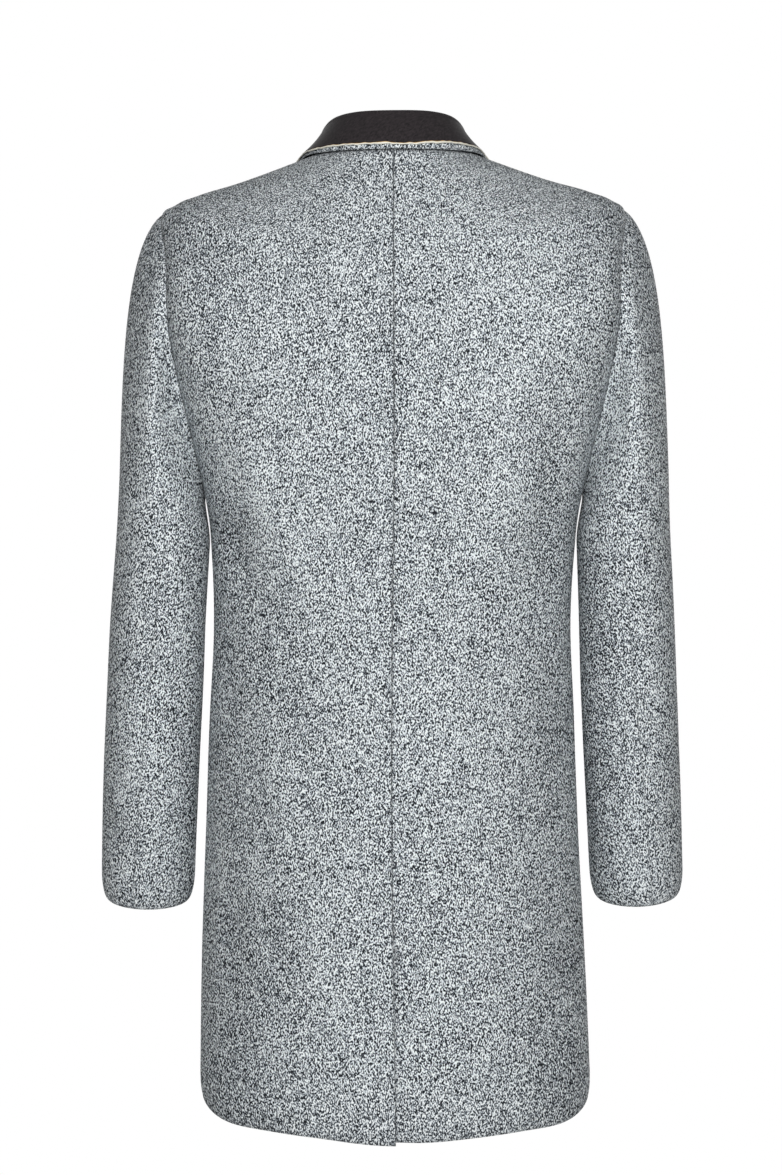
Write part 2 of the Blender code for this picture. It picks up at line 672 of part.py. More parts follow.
def make_piping(points):
    """Cream cord that lies on the fall along the lower edge of the top collar."""
    curve = bpy.data.curves.new("collar_piping", "CURVE")
    curve.dimensions = "3D"
    curve.bevel_depth = PIPING / 2
    curve.bevel_resolution = 1
    curve.use_fill_caps = True
    route = curve.splines.new("POLY")
    route.points.add(len(points) - 1)
    for point, place in zip(route.points, points):
        point.co = (*place, 1)
    add_part("collar_piping", curve, "cream_cord")


def make_buttons():
    """Dished round buttons on centre front, each turned from a profile."""
    profile = (
        (0.0, BUTTON_THICKNESS - BUTTON_DISH),
        (BUTTON_RADIUS - 2 * BUTTON_RIM, BUTTON_THICKNESS - BUTTON_DISH),
        (BUTTON_RADIUS - BUTTON_RIM, BUTTON_THICKNESS),
        (BUTTON_RADIUS - BUTTON_RIM / 4, BUTTON_THICKNESS - BUTTON_DISH / 2),
        (BUTTON_RADIUS, BUTTON_THICKNESS / 2),
        (BUTTON_RADIUS - BUTTON_RIM / 2, 0.0),
        (0.0, 0.0),
    )
    for number, z in enumerate(BUTTON_HEIGHTS, 1):
        angle, station = front_place(0.0, z)
        lift = front_lift(LEFT, angle, station)
        place = on_body(LEFT, angle, station, lift + LAP_GAP)
        normal = outward(angle, station)
        mesh = bpy.data.meshes.new(f"button_{number}")
        edges = [(low, low + 1) for low in range(len(profile) - 1)]
        mesh.from_pydata([(radius, 0, height) for radius, height in profile], edges, [])
        button = add_part(f"button_{number}", mesh, "horn")
        button.location = settled(place)
        button.rotation_euler = Vector(normal).to_track_quat("Z", "Y").to_euler()
        turned = button.modifiers.new("turned", "SCREW")
        turned.steps = turned.render_steps = BUTTON_STEPS
        turned.use_merge_vertices = True
        turned.merge_threshold = MERGE
        turned.use_normal_calculate = True


def main():
    for old in list(bpy.data.objects):
        bpy.data.objects.remove(old)
    bpy.context.scene.collection.children.link(bpy.data.collections.new(COAT))
    make_finishes()
    make_backs()
    make_fronts()
    make_lapels()
    make_sleeves()
    make_collar()
    make_buttons()


main()
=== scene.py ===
"""Visual model of a thigh-length wool coat with a dark turn-down collar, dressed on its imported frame.

Metres, +Z up. The wearer faces -Y, so the back of the coat faces +Y and the wearer's left is +X.
Every cut of cloth repeats the form of its solid on a finer grid, as a closed wall with rolled edges,
and adds the creases, the relief and the weave that the solids leave out.
"""

from __future__ import annotations

import logging
import math
from collections.abc import Callable
from dataclasses import dataclass, field
from enum import Enum
from typing import Any

import bpy
import numpy as np
from numpy.typing import NDArray
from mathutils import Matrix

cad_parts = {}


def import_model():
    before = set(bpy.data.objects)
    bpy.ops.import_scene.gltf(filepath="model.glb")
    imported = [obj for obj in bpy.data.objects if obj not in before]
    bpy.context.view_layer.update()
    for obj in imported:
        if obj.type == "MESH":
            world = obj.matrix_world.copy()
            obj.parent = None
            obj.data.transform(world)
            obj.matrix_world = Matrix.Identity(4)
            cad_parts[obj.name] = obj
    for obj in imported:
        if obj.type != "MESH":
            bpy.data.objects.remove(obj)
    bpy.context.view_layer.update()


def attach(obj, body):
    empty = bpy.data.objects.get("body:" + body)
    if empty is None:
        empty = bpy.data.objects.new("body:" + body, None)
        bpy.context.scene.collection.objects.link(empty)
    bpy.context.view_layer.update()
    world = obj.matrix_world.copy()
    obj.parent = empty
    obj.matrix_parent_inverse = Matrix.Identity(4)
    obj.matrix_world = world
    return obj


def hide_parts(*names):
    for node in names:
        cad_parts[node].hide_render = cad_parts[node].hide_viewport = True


Array = NDArray[np.float64]
Pair = tuple[float, float]
Triple = tuple[float, float, float]
Shape = tuple[Array, list[list[int]]]
Material = bpy.types.Material
Node = bpy.types.Node
Piece = bpy.types.Object
Socket = bpy.types.NodeSocket

LOG = logging.getLogger("loden_coat")
ROOT = "root"
QUARTER, HALF = math.pi / 2, math.pi
UP = np.array((0.0, 0.0, 1.0))
SLOPE_STEP = 1e-4

# Distances from an edge at which a grid has its own lines, so that the edge can roll
EDGE_LINES = np.array((0.0, 0.0003, 0.0007, 0.0012, 0.0018, 0.0025, 0.0034, 0.0046, 0.0062))
GRID_STEP = 0.005


class Side(Enum):
    """Half of the coat, with the sign of its X."""

    LEFT = 1
    RIGHT = -1

    @property
    def word(self) -> str:
        """The side's name as it is used in the names of pieces."""
        return self.name.lower()

    @property
    def mirror(self) -> Array:
        """Factors that carry the wearer's left half to this side."""
        return np.array((self.value, 1.0, 1.0))


class Edge(Enum):
    """Finish of a cloth edge.

    Its numbers are its reach along the cloth, the drop of the outer face, the rise of the inner face,
    how far it is pressed smooth, and how dark its painted shade is: dark thread and painted shadow in a
    seam's groove, painted shadow along a lapped or rolled edge.
    """

    SEWN = (0.0017, 0.0012, 0.0000, 0.0, 0.75)
    FINE = (0.0013, 0.0008, 0.0000, 0.0, 0.30)
    SET_IN = (0.0026, 0.0009, 0.0000, 0.0, 0.80)
    EASED = (0.0032, 0.0009, 0.0000, 0.10, 0.80)
    LAPPED = (0.0019, 0.0014, 0.0014, 0.0, 0.6)
    HEMMED = (0.0080, 0.0020, 0.0010, 0.1, 0.0)
    BAGGED = (0.0016, 0.0011, 0.0011, 0.0, 0.0)
    ROLLED = (0.0050, 0.0017, 0.0006, 0.0, 0.35)
    RAW = (0.0007, 0.0005, 0.0005, 0.0, 0.0)

    def line(self, other: Edge | None = None, share: Array | None = None) -> Array:
        """The finish's numbers along an edge that may change from one finish to another.

        Args:
            other: the finish that takes over where the share is 1.
            share: how far each point of the edge has gone over to the other finish.

        Returns:
            Array of 5 rows, with one column or a column for each point.
        """
        mine = np.array(self.value)[:, None]
        if other is None or share is None:
            return mine
        return mine * (1 - share) + np.array(other.value)[:, None] * share


class Border(Enum):
    """The four sides of a grid of points."""

    FIRST_ROW = 0
    LAST_ROW = 1
    FIRST_COLUMN = 2
    LAST_COLUMN = 3


class Held(Enum):
    HUNG = "hung"
    FOLDED = "folded"


def number_table(*rows: tuple[float, ...]) -> Any:
    """Field of a dataclass that holds a table of numbers, row by row."""
    return field(default_factory=lambda: np.array(rows))


def unit(vectors: Array) -> Array:
    """The same directions with length 1."""
    return vectors / np.linalg.norm(vectors, axis=-1, keepdims=True)


def smooth_step(value: Array) -> Array:
    """0 up to 0, 1 from 1 on, and t * t * (3 - 2 t) between."""
    t = np.clip(value, 0, 1)
    return t * t * (3 - 2 * t)


def bell(*ways: Array) -> Array:
    """1 where every way is 0, falling off on all sides: exp(-way^2) of each, multiplied."""
    return np.exp(-sum(way**2 for way in ways))


def smooth_between(value: Array, start: float, end: float) -> Array:
    """Smooth step from 0 at the start to 1 at the end, which may be the lower of the two."""
    return smooth_step((value - start) / (end - start))


def wavering(run: Array, waves: tuple[Triple, ...]) -> Array:
    """Sum of sines along a run: height * sin(run / length + start) for each wave."""
    return sum(height * np.sin(run / length + start) for height, length, start in waves)


def hermite(first: Array, first_slope: Array, last: Array, last_slope: Array, t: Array) -> Array:
    """Cubic from the first to the last point with the given slopes at its ends.

    Args:
        first: start point.
        first_slope: slope at the start.
        last: end point.
        last_slope: slope at the end.
        t: place on the way, from 0 to 1.

    Returns:
        Points of the cubic.
    """
    rest = 1 - t
    return (
        first * (1 + 2 * t) * rest**2
        + first_slope * t * rest**2
        + last * t**2 * (3 - 2 * t)
        - last_slope * t**2 * rest
    )


def spline(table: Array, station: Array) -> Array:
    """Smooth curve through the rows of a table: a cubic between each two rows, with central slopes.

    Args:
        table: rows of values.
        station: whole or part row numbers.

    Returns:
        Values at the stations, with the table's columns as the last axis.
    """
    slopes = np.gradient(table, axis=0)
    station = np.asarray(station, float)
    low = np.clip(np.floor(station).astype(int), 0, len(table) - 2)
    t = (station - low)[..., None]
    return hermite(table[low], slopes[low], table[low + 1], slopes[low + 1], t)


def line_folds(x: Array, z: Array, folds: Array, fade: float) -> Array:
    """Height of soft folds: each a bell across its line, exp(-(aside / breadth)^2), that fades at its ends.

    Args:
        x: sideways place in the view.
        z: height in the view.
        folds: rows of x_first, z_first, x_last, z_last, height, half_breadth.
        fade: share of a fold's length over which each end fades.

    Returns:
        Sum of the folds at each place.
    """
    x_first, z_first, x_last, z_last, height, breadth = folds.T
    run = np.hypot(x_last - x_first, z_last - z_first)
    along_x, along_z = (x_last - x_first) / run, (z_last - z_first) / run
    from_x, from_z = x[..., None] - x_first, z[..., None] - z_first
    along = (from_x * along_x + from_z * along_z) / run
    aside = from_x * along_z - from_z * along_x
    ends = smooth_step(along / fade) * smooth_step((1 - along) / fade)
    return np.sum(height * ends * bell(aside / breadth), axis=-1)


def fine_places(lengths: Array | float, count: int, both: bool = True, lines: Array = EDGE_LINES) -> Array:
    """Places along lines of the given lengths, close together at the start or at both ends, even elsewhere.

    Args:
        lengths: length of each line.
        count: number of even steps.
        both: whether the places are close at the end too.
        lines: distances of the close places from an end.

    Returns:
        Shares of the length, a row for each line.
    """
    lengths = np.atleast_1d(lengths)[:, None]
    near = np.broadcast_to(lines, (len(lengths), len(lines)))
    even = lines[-1] + (lengths - (2 if both else 1) * lines[-1]) * np.linspace(0, 1, count + 1)[1:]
    if both:
        even = np.concatenate([even[:, :-1], lengths - near[:, ::-1]], axis=1)
    return np.concatenate([near, even], axis=1) / lengths


def run_along(points: Array, axis: int) -> Array:
    """Length of the way along each line of a grid, from 0 at its first point."""
    steps = np.linalg.norm(np.diff(points, axis=axis), axis=-1)
    start = np.zeros_like(np.take(steps, [0], axis=axis))
    return np.concatenate([start, np.cumsum(steps, axis=axis)], axis=axis)


def read_rows(first: float, step: float, values: Array, wanted: Array) -> Array:
    """Straight-line reading of a table whose columns stand at even steps, with its own places for each row.

    Args:
        first: place of the first column.
        step: distance between columns.
        values: the table.
        wanted: places to read.

    Returns:
        Values at the wanted places.
    """
    at = (wanted - first) / step
    low = np.clip(np.floor(at).astype(int), 0, values.shape[1] - 2)
    row = np.arange(len(values))[:, None]
    return values[row, low] + (values[row, low + 1] - values[row, low]) * (at - low)


def grid_normals(points: Array) -> Array:
    """Unit normals of a grid: the slope along the columns crossed with the slope along the rows."""
    return unit(np.cross(np.gradient(points, axis=1), np.gradient(points, axis=0)))


def level_places(points: Array) -> tuple[Array, Array]:
    """Places across and along a hanging tube of cloth whose columns run down.

    Across is the length along the level section through a point, from the middle column.
    Along is the way down.

    Args:
        points: grid of points.

    Returns:
        Places across and along.
    """
    z = np.minimum.accumulate(points[..., 2])
    levels = np.linspace(z.min(), z.max(), 600)
    columns = range(z.shape[1])
    sections = [[np.interp(levels, z[::-1, at], points[::-1, at, axis]) for axis in (0, 1)] for at in columns]
    across = run_along(np.moveaxis(np.array(sections), 1, 2), 0)
    across = across - across[len(across) // 2]
    return np.stack([np.interp(z[:, at], levels, across[at]) for at in columns], axis=1), -z


def grid_quads(rows: int, columns: int, closed: bool = False, ring: bool = False) -> Array:
    """Corner numbers of a grid's cells, row by row.

    Args:
        rows: rows of points.
        columns: columns of points.
        closed: whether the last column runs on into the first.
        ring: whether the last row runs on into the first.

    Returns:
        Array of four corner numbers for each cell.
    """
    index = np.arange(rows * columns).reshape(rows, columns)
    if closed:
        index = np.concatenate([index, index[:, :1]], axis=1)
    if ring:
        index = np.concatenate([index, index[:1]])
    corners = (index[:-1, :-1], index[:-1, 1:], index[1:, 1:], index[1:, :-1])
    return np.stack(corners, axis=-1).reshape(-1, 4)


def swept(path: Array, out: Array, rise: Array, breadth: Array, around: int, ring: bool = False) -> Shape:
    """Tube along a path: each ring is path + out * rise * cos(turn) + aside * breadth * sin(turn).

    Args:
        path: points of the centre line.
        out: direction at each point from which the turn counts.
        rise: half size along that direction, a row for each point.
        breadth: half size across it, a row for each point.
        around: points round the tube.
        ring: whether the path runs on into its start. Otherwise flat faces close both ends.

    Returns:
        Points and faces.
    """
    slope = np.roll(path, -1, axis=0) - np.roll(path, 1, axis=0) if ring else np.gradient(path, axis=0)
    aside = unit(np.cross(unit(slope), out))
    turn = np.linspace(0, 2 * HALF, around + 1)[:-1]
    risen = out[:, None] * (rise * np.cos(turn))[..., None]
    spread = aside[:, None] * (breadth * np.sin(turn))[..., None]
    points = (path[:, None] + (risen + spread)).reshape(-1, 3)
    faces = grid_quads(len(path), around, True, ring).tolist()
    if not ring:
        last = len(points) - around
        faces += [list(range(around))[::-1], list(range(last, last + around))]
    return points, faces


def turned(profile: Array, around: int) -> Shape:
    """Turned solid: a profile point of radius r and height h goes round as r * cos(turn), r * sin(turn), h.

    The first and the last point lie on the axis, where fans of triangles close the solid.

    Args:
        profile: rows of radius and height, from the top down.
        around: points round the axis.

    Returns:
        Points and faces. The points are the rings in order, then the two on the axis.
    """
    turn = np.linspace(0, 2 * HALF, around + 1)[:-1]
    radius, height = (column[1:-1, None] for column in profile.T)
    rings = np.stack([radius * np.cos(turn), radius * np.sin(turn), height + 0 * turn], axis=-1)
    poles = np.array(((0.0, 0.0, profile[0, 1]), (0.0, 0.0, profile[-1, 1])))
    points = np.concatenate([rings.reshape(-1, 3), poles])
    here = np.arange(around)
    after = np.roll(here, -1)
    last = len(rings) * around - around
    top = np.stack([np.full(around, len(points) - 2), here, after], axis=-1)
    bottom = np.stack([np.full(around, len(points) - 1), after + last, here + last], axis=-1)
    quads = grid_quads(len(rings), around, True)[:, ::-1]
    return points, quads.tolist() + top.tolist() + bottom.tolist()


def joined(shapes: list[Shape]) -> Shape:
    """Several shapes as one: their points in a row, and their faces with the numbers moved on to match."""
    starts = np.cumsum([0] + [len(points) for points, _ in shapes])
    faces: list[list[int]] = []
    for (_, one), start in zip(shapes, starts):
        faces += [[corner + int(start) for corner in face] for face in one]
    return np.concatenate([points for points, _ in shapes]), faces


def new_piece(name: str, shape: Shape, material: Material) -> Piece:
    """Smooth mesh object at the origin that rides on the coat's one body.

    Args:
        name: name of the object and its mesh.
        shape: its vertices and the corner numbers of its faces.
        material: its one material.

    Returns:
        The new object.
    """
    points, faces = shape
    mesh = bpy.data.meshes.new(name)
    mesh.from_pydata(points.tolist(), [], faces)
    mesh.shade_smooth()
    mesh.materials.append(material)
    piece = bpy.data.objects.new(name, mesh)
    bpy.context.scene.collection.objects.link(piece)
    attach(piece, ROOT)
    LOG.info("%s: %d triangles", name, sum(len(face) - 2 for face in faces))
    return piece


def add_attribute(piece: Piece, name: str, values: Array) -> None:
    """Stores a number or a vector for each vertex under a name that materials read."""
    kind, slot = ("FLOAT", "value") if values.ndim == 1 else ("FLOAT_VECTOR", "vector")
    made = piece.data.attributes.new(name, kind, "POINT")
    made.data.foreach_set(slot, np.ascontiguousarray(values, np.float32).ravel())


@dataclass
class NodeBoard:
    """A material's node tree, with one call to add and link a node."""

    tree: bpy.types.NodeTree

    def add(self, kind: str, values: dict[Any, Any] | None = None, **settings: Any) -> Node:
        """Adds a node.

        Args:
            kind: the node's type name without its ShaderNode prefix.
            values: numbers for its inputs, or sockets to link to them, by input name or number.
            settings: the node's own settings.

        Returns:
            The new node.
        """
        node = self.tree.nodes.new("ShaderNode" + kind)
        for name, value in settings.items():
            setattr(node, name, value)
        for name, value in (values or {}).items():
            if isinstance(value, Socket):
                self.tree.links.new(value, node.inputs[name])
            else:
                node.inputs[name].default_value = value
        return node

    def math(self, operation: str, *values: Any, clamp: bool = False) -> Socket:
        """Result of a sum on numbers or sockets."""
        return self.add("Math", dict(enumerate(values)), operation=operation, use_clamp=clamp).outputs[0]

    def vector(self, operation: str, *values: Any) -> Socket:
        """Result of a sum on vectors or sockets."""
        return self.add("VectorMath", dict(enumerate(values)), operation=operation).outputs[0]

    def shifted(self, tone: Any, noise: Any, weight: float, clamp: bool = False) -> Socket:
        """A tone moved by a noise: tone + weight * (noise - 0.5)."""
        return self.math("MULTIPLY_ADD", self.math("SUBTRACT", noise, 0.5), weight, tone, clamp=clamp)

    def stored(self, name: str, output: str = "Fac") -> Socket:
        """Value that is stored on the piece under a name."""
        return self.add("Attribute", attribute_name=name).outputs[output]

    def mix(self, share: Any, one: Any, other: Triple) -> Socket:
        """Blend of a colour or a colour's socket with another colour."""
        first = one if isinstance(one, Socket) else (*one, 1)
        return self.add("Mix", {0: share, 6: first, 7: (*other, 1)}, data_type="RGBA").outputs[2]

    def ramp(self, share: Any, stops: tuple[tuple[float, Triple], ...]) -> Socket:
        """Colour read from a ramp of places and colours."""
        node = self.add("ValToRGB", {0: share})
        elements = node.color_ramp.elements
        while len(elements) < len(stops):
            elements.new(1.0)
        for element, (place, colour) in zip(elements, stops):
            element.position = place
            element.color = (*colour, 1.0)
        return node.outputs["Color"]

    def noise(self, place: Any, scale: float, detail: float = 2.0, roughness: float = 0.5) -> Socket:
        """Cloudy noise with this many lumps in one unit of the place."""
        values = {"Vector": place, "Scale": scale, "Detail": detail, "Roughness": roughness}
        return self.add("TexNoise", values).outputs[0]

    def surface(self, shader: Node, colour: Any, height: Any, strength: float, relief: float) -> None:
        """Links a colour to a shader, and a height as a bump with this strength and relief."""
        bump = self.add("Bump", {"Height": height, "Strength": strength, "Distance": relief})
        self.tree.links.new(colour, shader.inputs["Base Color"])
        self.tree.links.new(bump.outputs[0], shader.inputs["Normal"])


NewMaterial = tuple[Material, NodeBoard, Node]


def new_material(name: str, roughness: float, sheen: float = 0.0) -> NewMaterial:
    """Empty material with its one surface shader.

    Args:
        name: the material's name.
        roughness: roughness of its surface.
        sheen: weight of the fibres' sheen.

    Returns:
        The material, its board and its shader.
    """
    material = bpy.data.materials.new(name)
    material.use_nodes = True
    board = NodeBoard(material.node_tree)
    shader = material.node_tree.nodes["Principled BSDF"]
    shader.inputs["Roughness"].default_value = roughness
    shader.inputs["Sheen Weight"].default_value = sheen
    return material, board, shader


@dataclass(frozen=True)
class BoucleCloth:
    """Salt-and-pepper bouclé wool: light, grey and near-black knots of yarn in uneven rows."""

    knot_width: float = 0.00106
    knot_height: float = 0.00186
    row_height: float = 0.0031
    relief: float = 0.0006
    slant: Triple = (0.7, 0.5, 0.9)
    # Fibres and fuzz in a knot's width, and where the fibres' noise is read
    fibres_in_knot: float = 1.55
    fuzz_in_knot: float = 4.3
    fibre_offset: Triple = (3.7, 1.9, 5.3)
    # How far each part of the yarn moves the tone
    lump_weight: float = 3.3
    fibre_weight: float = 1.95
    knot_weight: float = 0.35
    fuzz_weight: float = 1.25
    row_weight: float = 0.03
    # Size of the clouds in the cloth, and how far they move the tone
    clouds: tuple[Pair, ...] = ((0.018, 0.20), (0.050, 0.20))
    # Share of the pressed tone at a pressed edge, size of a seam line's breaks and its least share
    pressing: float = 0.6
    break_size: float = 0.003
    break_least: float = 0.35
    roughness: float = 0.95
    # How far the stored painted light and shade moves the tone
    painted_shading_gain: float = 22.0
    tones: tuple[tuple[float, Triple], ...] = (
        (0.00, (0.005, 0.007, 0.010)),
        (0.20, (0.024, 0.030, 0.041)),
        (0.40, (0.210, 0.240, 0.271)),
        (0.60, (0.496, 0.547, 0.591)),
        (0.80, (0.800, 0.862, 0.915)),
        (1.00, (0.960, 1.000, 1.000)),
    )
    pressed_tone: Triple = (0.42, 0.445, 0.46)
    # Near-black of the seam threads, of the painted seam shade and of the painted shadows
    seam_and_shadow_tone: Triple = (0.030, 0.034, 0.040)

    def material(self) -> Material:
        """Lumpy noise gives the knots, cells their own tones, and a wave up the cloth the rows of yarn.

        Ridges are lighter and hollows darker by the painted light and shade stored on the cloth.

        Returns:
            The material.
        """
        material, board, shader = new_material("coat_cloth_boucle", self.roughness)
        place = board.stored("cloth", "Vector")
        scale = (1 / self.knot_width, 1 / self.knot_height, 1 / self.knot_width)
        cells = board.vector("MULTIPLY", place, scale)
        cells = board.add("Mapping", {"Vector": cells, "Rotation": self.slant}).outputs[0]
        lumps = board.noise(cells, 1.0, 0.0)
        fibres = board.noise(board.vector("ADD", cells, self.fibre_offset), self.fibres_in_knot, 1.0)
        knots = board.add("TexVoronoi", {"Vector": cells, "Scale": 0.8, "Randomness": 0.9})
        own = board.add("SeparateColor", {0: knots.outputs["Color"]}).outputs[0]
        fuzz = board.noise(cells, self.fuzz_in_knot, 2.0, 0.6)
        parts = [(lumps, self.lump_weight), (fibres, self.fibre_weight), (own, self.knot_weight)]
        parts += [(board.noise(place, 1 / size), weight) for size, weight in self.clouds]
        # Painted light and shade: the stored height lightens ridges and darkens creases and sheltered places
        tone = board.math("MULTIPLY_ADD", board.stored("painted_shading"), self.painted_shading_gain, 0.5)
        for part, weight in parts + [(fuzz, self.fuzz_weight)]:
            tone = board.shifted(tone, part, weight)
        up = board.add("SeparateXYZ", {0: place}).outputs[1]
        wave = board.math("SINE", board.math("MULTIPLY", up, 2 * HALF / self.row_height))
        tone = board.math("MULTIPLY_ADD", wave, self.row_weight, tone, clamp=True)
        colour = board.ramp(tone, self.tones)
        pressed = board.math("MULTIPLY", board.stored("pressed"), self.pressing)
        colour = board.mix(pressed, colour, self.pressed_tone)
        # Painted seam shade and painted shadow, broken by noise, mix the colour towards near-black
        broken = board.math("ADD", board.noise(place, 1 / self.break_size, 1.0), self.break_least)
        line = board.math("MULTIPLY", board.stored("shaded"), broken, clamp=True)
        colour = board.mix(line, colour, self.seam_and_shadow_tone)
        board.surface(shader, colour, tone, 0.4, self.relief)
        return material


@dataclass(frozen=True)
class DarkFelt:
    """Near-black felted collar cloth with short fibres and a faint warm mottle."""

    roughness: float = 0.92
    sheen: float = 0.10
    lump_size: float = 0.006
    fibre_size: float = 0.0017
    fibre_weight: float = 2.6
    relief: float = 0.0004
    dark: Triple = (0.0065, 0.0048, 0.0056)
    light: Triple = (0.0350, 0.0268, 0.0300)

    def material(self) -> Material:
        """Two noises, one of lumps and one of short fibres, shift between the two tones."""
        material, board, shader = new_material("collar_felt", self.roughness, self.sheen)
        place = board.stored("cloth", "Vector")
        lumps = board.noise(place, 1 / self.lump_size, 3.0, 0.6)
        drawn = board.vector("MULTIPLY", place, (1.0, 0.6, 1.0))
        fibres = board.noise(drawn, 1 / self.fibre_size, 2.0, 0.7)
        share = board.shifted(lumps, fibres, self.fibre_weight, clamp=True)
        board.surface(shader, board.mix(share, self.dark, self.light), fibres, 0.6, self.relief)
        return material


@dataclass(frozen=True)
class CreamCord:
    """Twisted cream piping cord, ochre along its upper side, next to the dark leaf."""

    roughness: float = 0.75
    sheen: float = 0.15
    fibre_size: float = 0.0008
    fibre_weight: float = 0.5
    relief: float = 0.0003
    cream: Triple = (0.98, 0.95, 0.83)
    ochre: Triple = (0.66, 0.35, 0.06)

    def material(self) -> Material:
        """The cord's own turn gives the ochre side, and fine noise the fibres of its strands."""
        material, board, shader = new_material("collar_cream_cord", self.roughness, self.sheen)
        fibres = board.noise(board.stored("cloth", "Vector"), 1 / self.fibre_size, 2.0, 0.6)
        share = board.shifted(board.stored("pressed"), fibres, self.fibre_weight, clamp=True)
        board.surface(shader, board.mix(share, self.cream, self.ochre), fibres, 0.5, self.relief)
        return material


@dataclass(frozen=True)
class Horn:
    """Dark polished horn with fine lighter streaks."""

    roughness: float = 0.32
    streak_size: float = 0.0022
    streak_range: Pair = (0.42, 0.72)
    # Roughness of the best polish, how much rougher it wears, and the size of worn places
    polished: float = 0.20
    wear: float = 0.25
    wear_size: float = 0.0012
    dark: Triple = (0.020, 0.014, 0.011)
    light: Triple = (0.085, 0.058, 0.040)

    def material(self) -> Material:
        """Noise drawn out along X gives the streaks, and a finer noise the wear of the polish."""
        material, board, shader = new_material("button_horn", self.roughness)
        place = board.add("TexCoord").outputs["Object"]
        drawn = board.vector("MULTIPLY", place, (0.25, 1.0, 1.0))
        streaks = board.noise(drawn, 1 / self.streak_size, 3.0, 0.6)
        least, most = self.streak_range
        share = board.add("MapRange", {0: streaks, 1: least, 2: most}).outputs[0]
        board.tree.links.new(board.mix(share, self.dark, self.light), shader.inputs["Base Color"])
        worn = board.noise(place, 1 / self.wear_size)
        rough = board.math("MULTIPLY_ADD", worn, self.wear, self.polished)
        board.tree.links.new(rough, shader.inputs["Roughness"])
        return material


@dataclass(frozen=True)
class SewingThread:
    """Plied sewing thread."""

    name: str
    colour: Triple
    roughness: float = 0.7
    sheen: float = 0.1
    fibre_size: float = 0.0005
    darkest: float = 0.45
    relief: float = 0.0002

    def material(self) -> Material:
        """Fine noise gives the strands lighter and darker fibres."""
        material, board, shader = new_material(self.name, self.roughness, self.sheen)
        place = board.add("TexCoord").outputs["Object"]
        fibres = board.noise(place, 1 / self.fibre_size, 2.0, 0.6)
        darker = tuple(self.darkest * part for part in self.colour)
        board.surface(shader, board.mix(fibres, darker, self.colour), fibres, 0.4, self.relief)
        return material


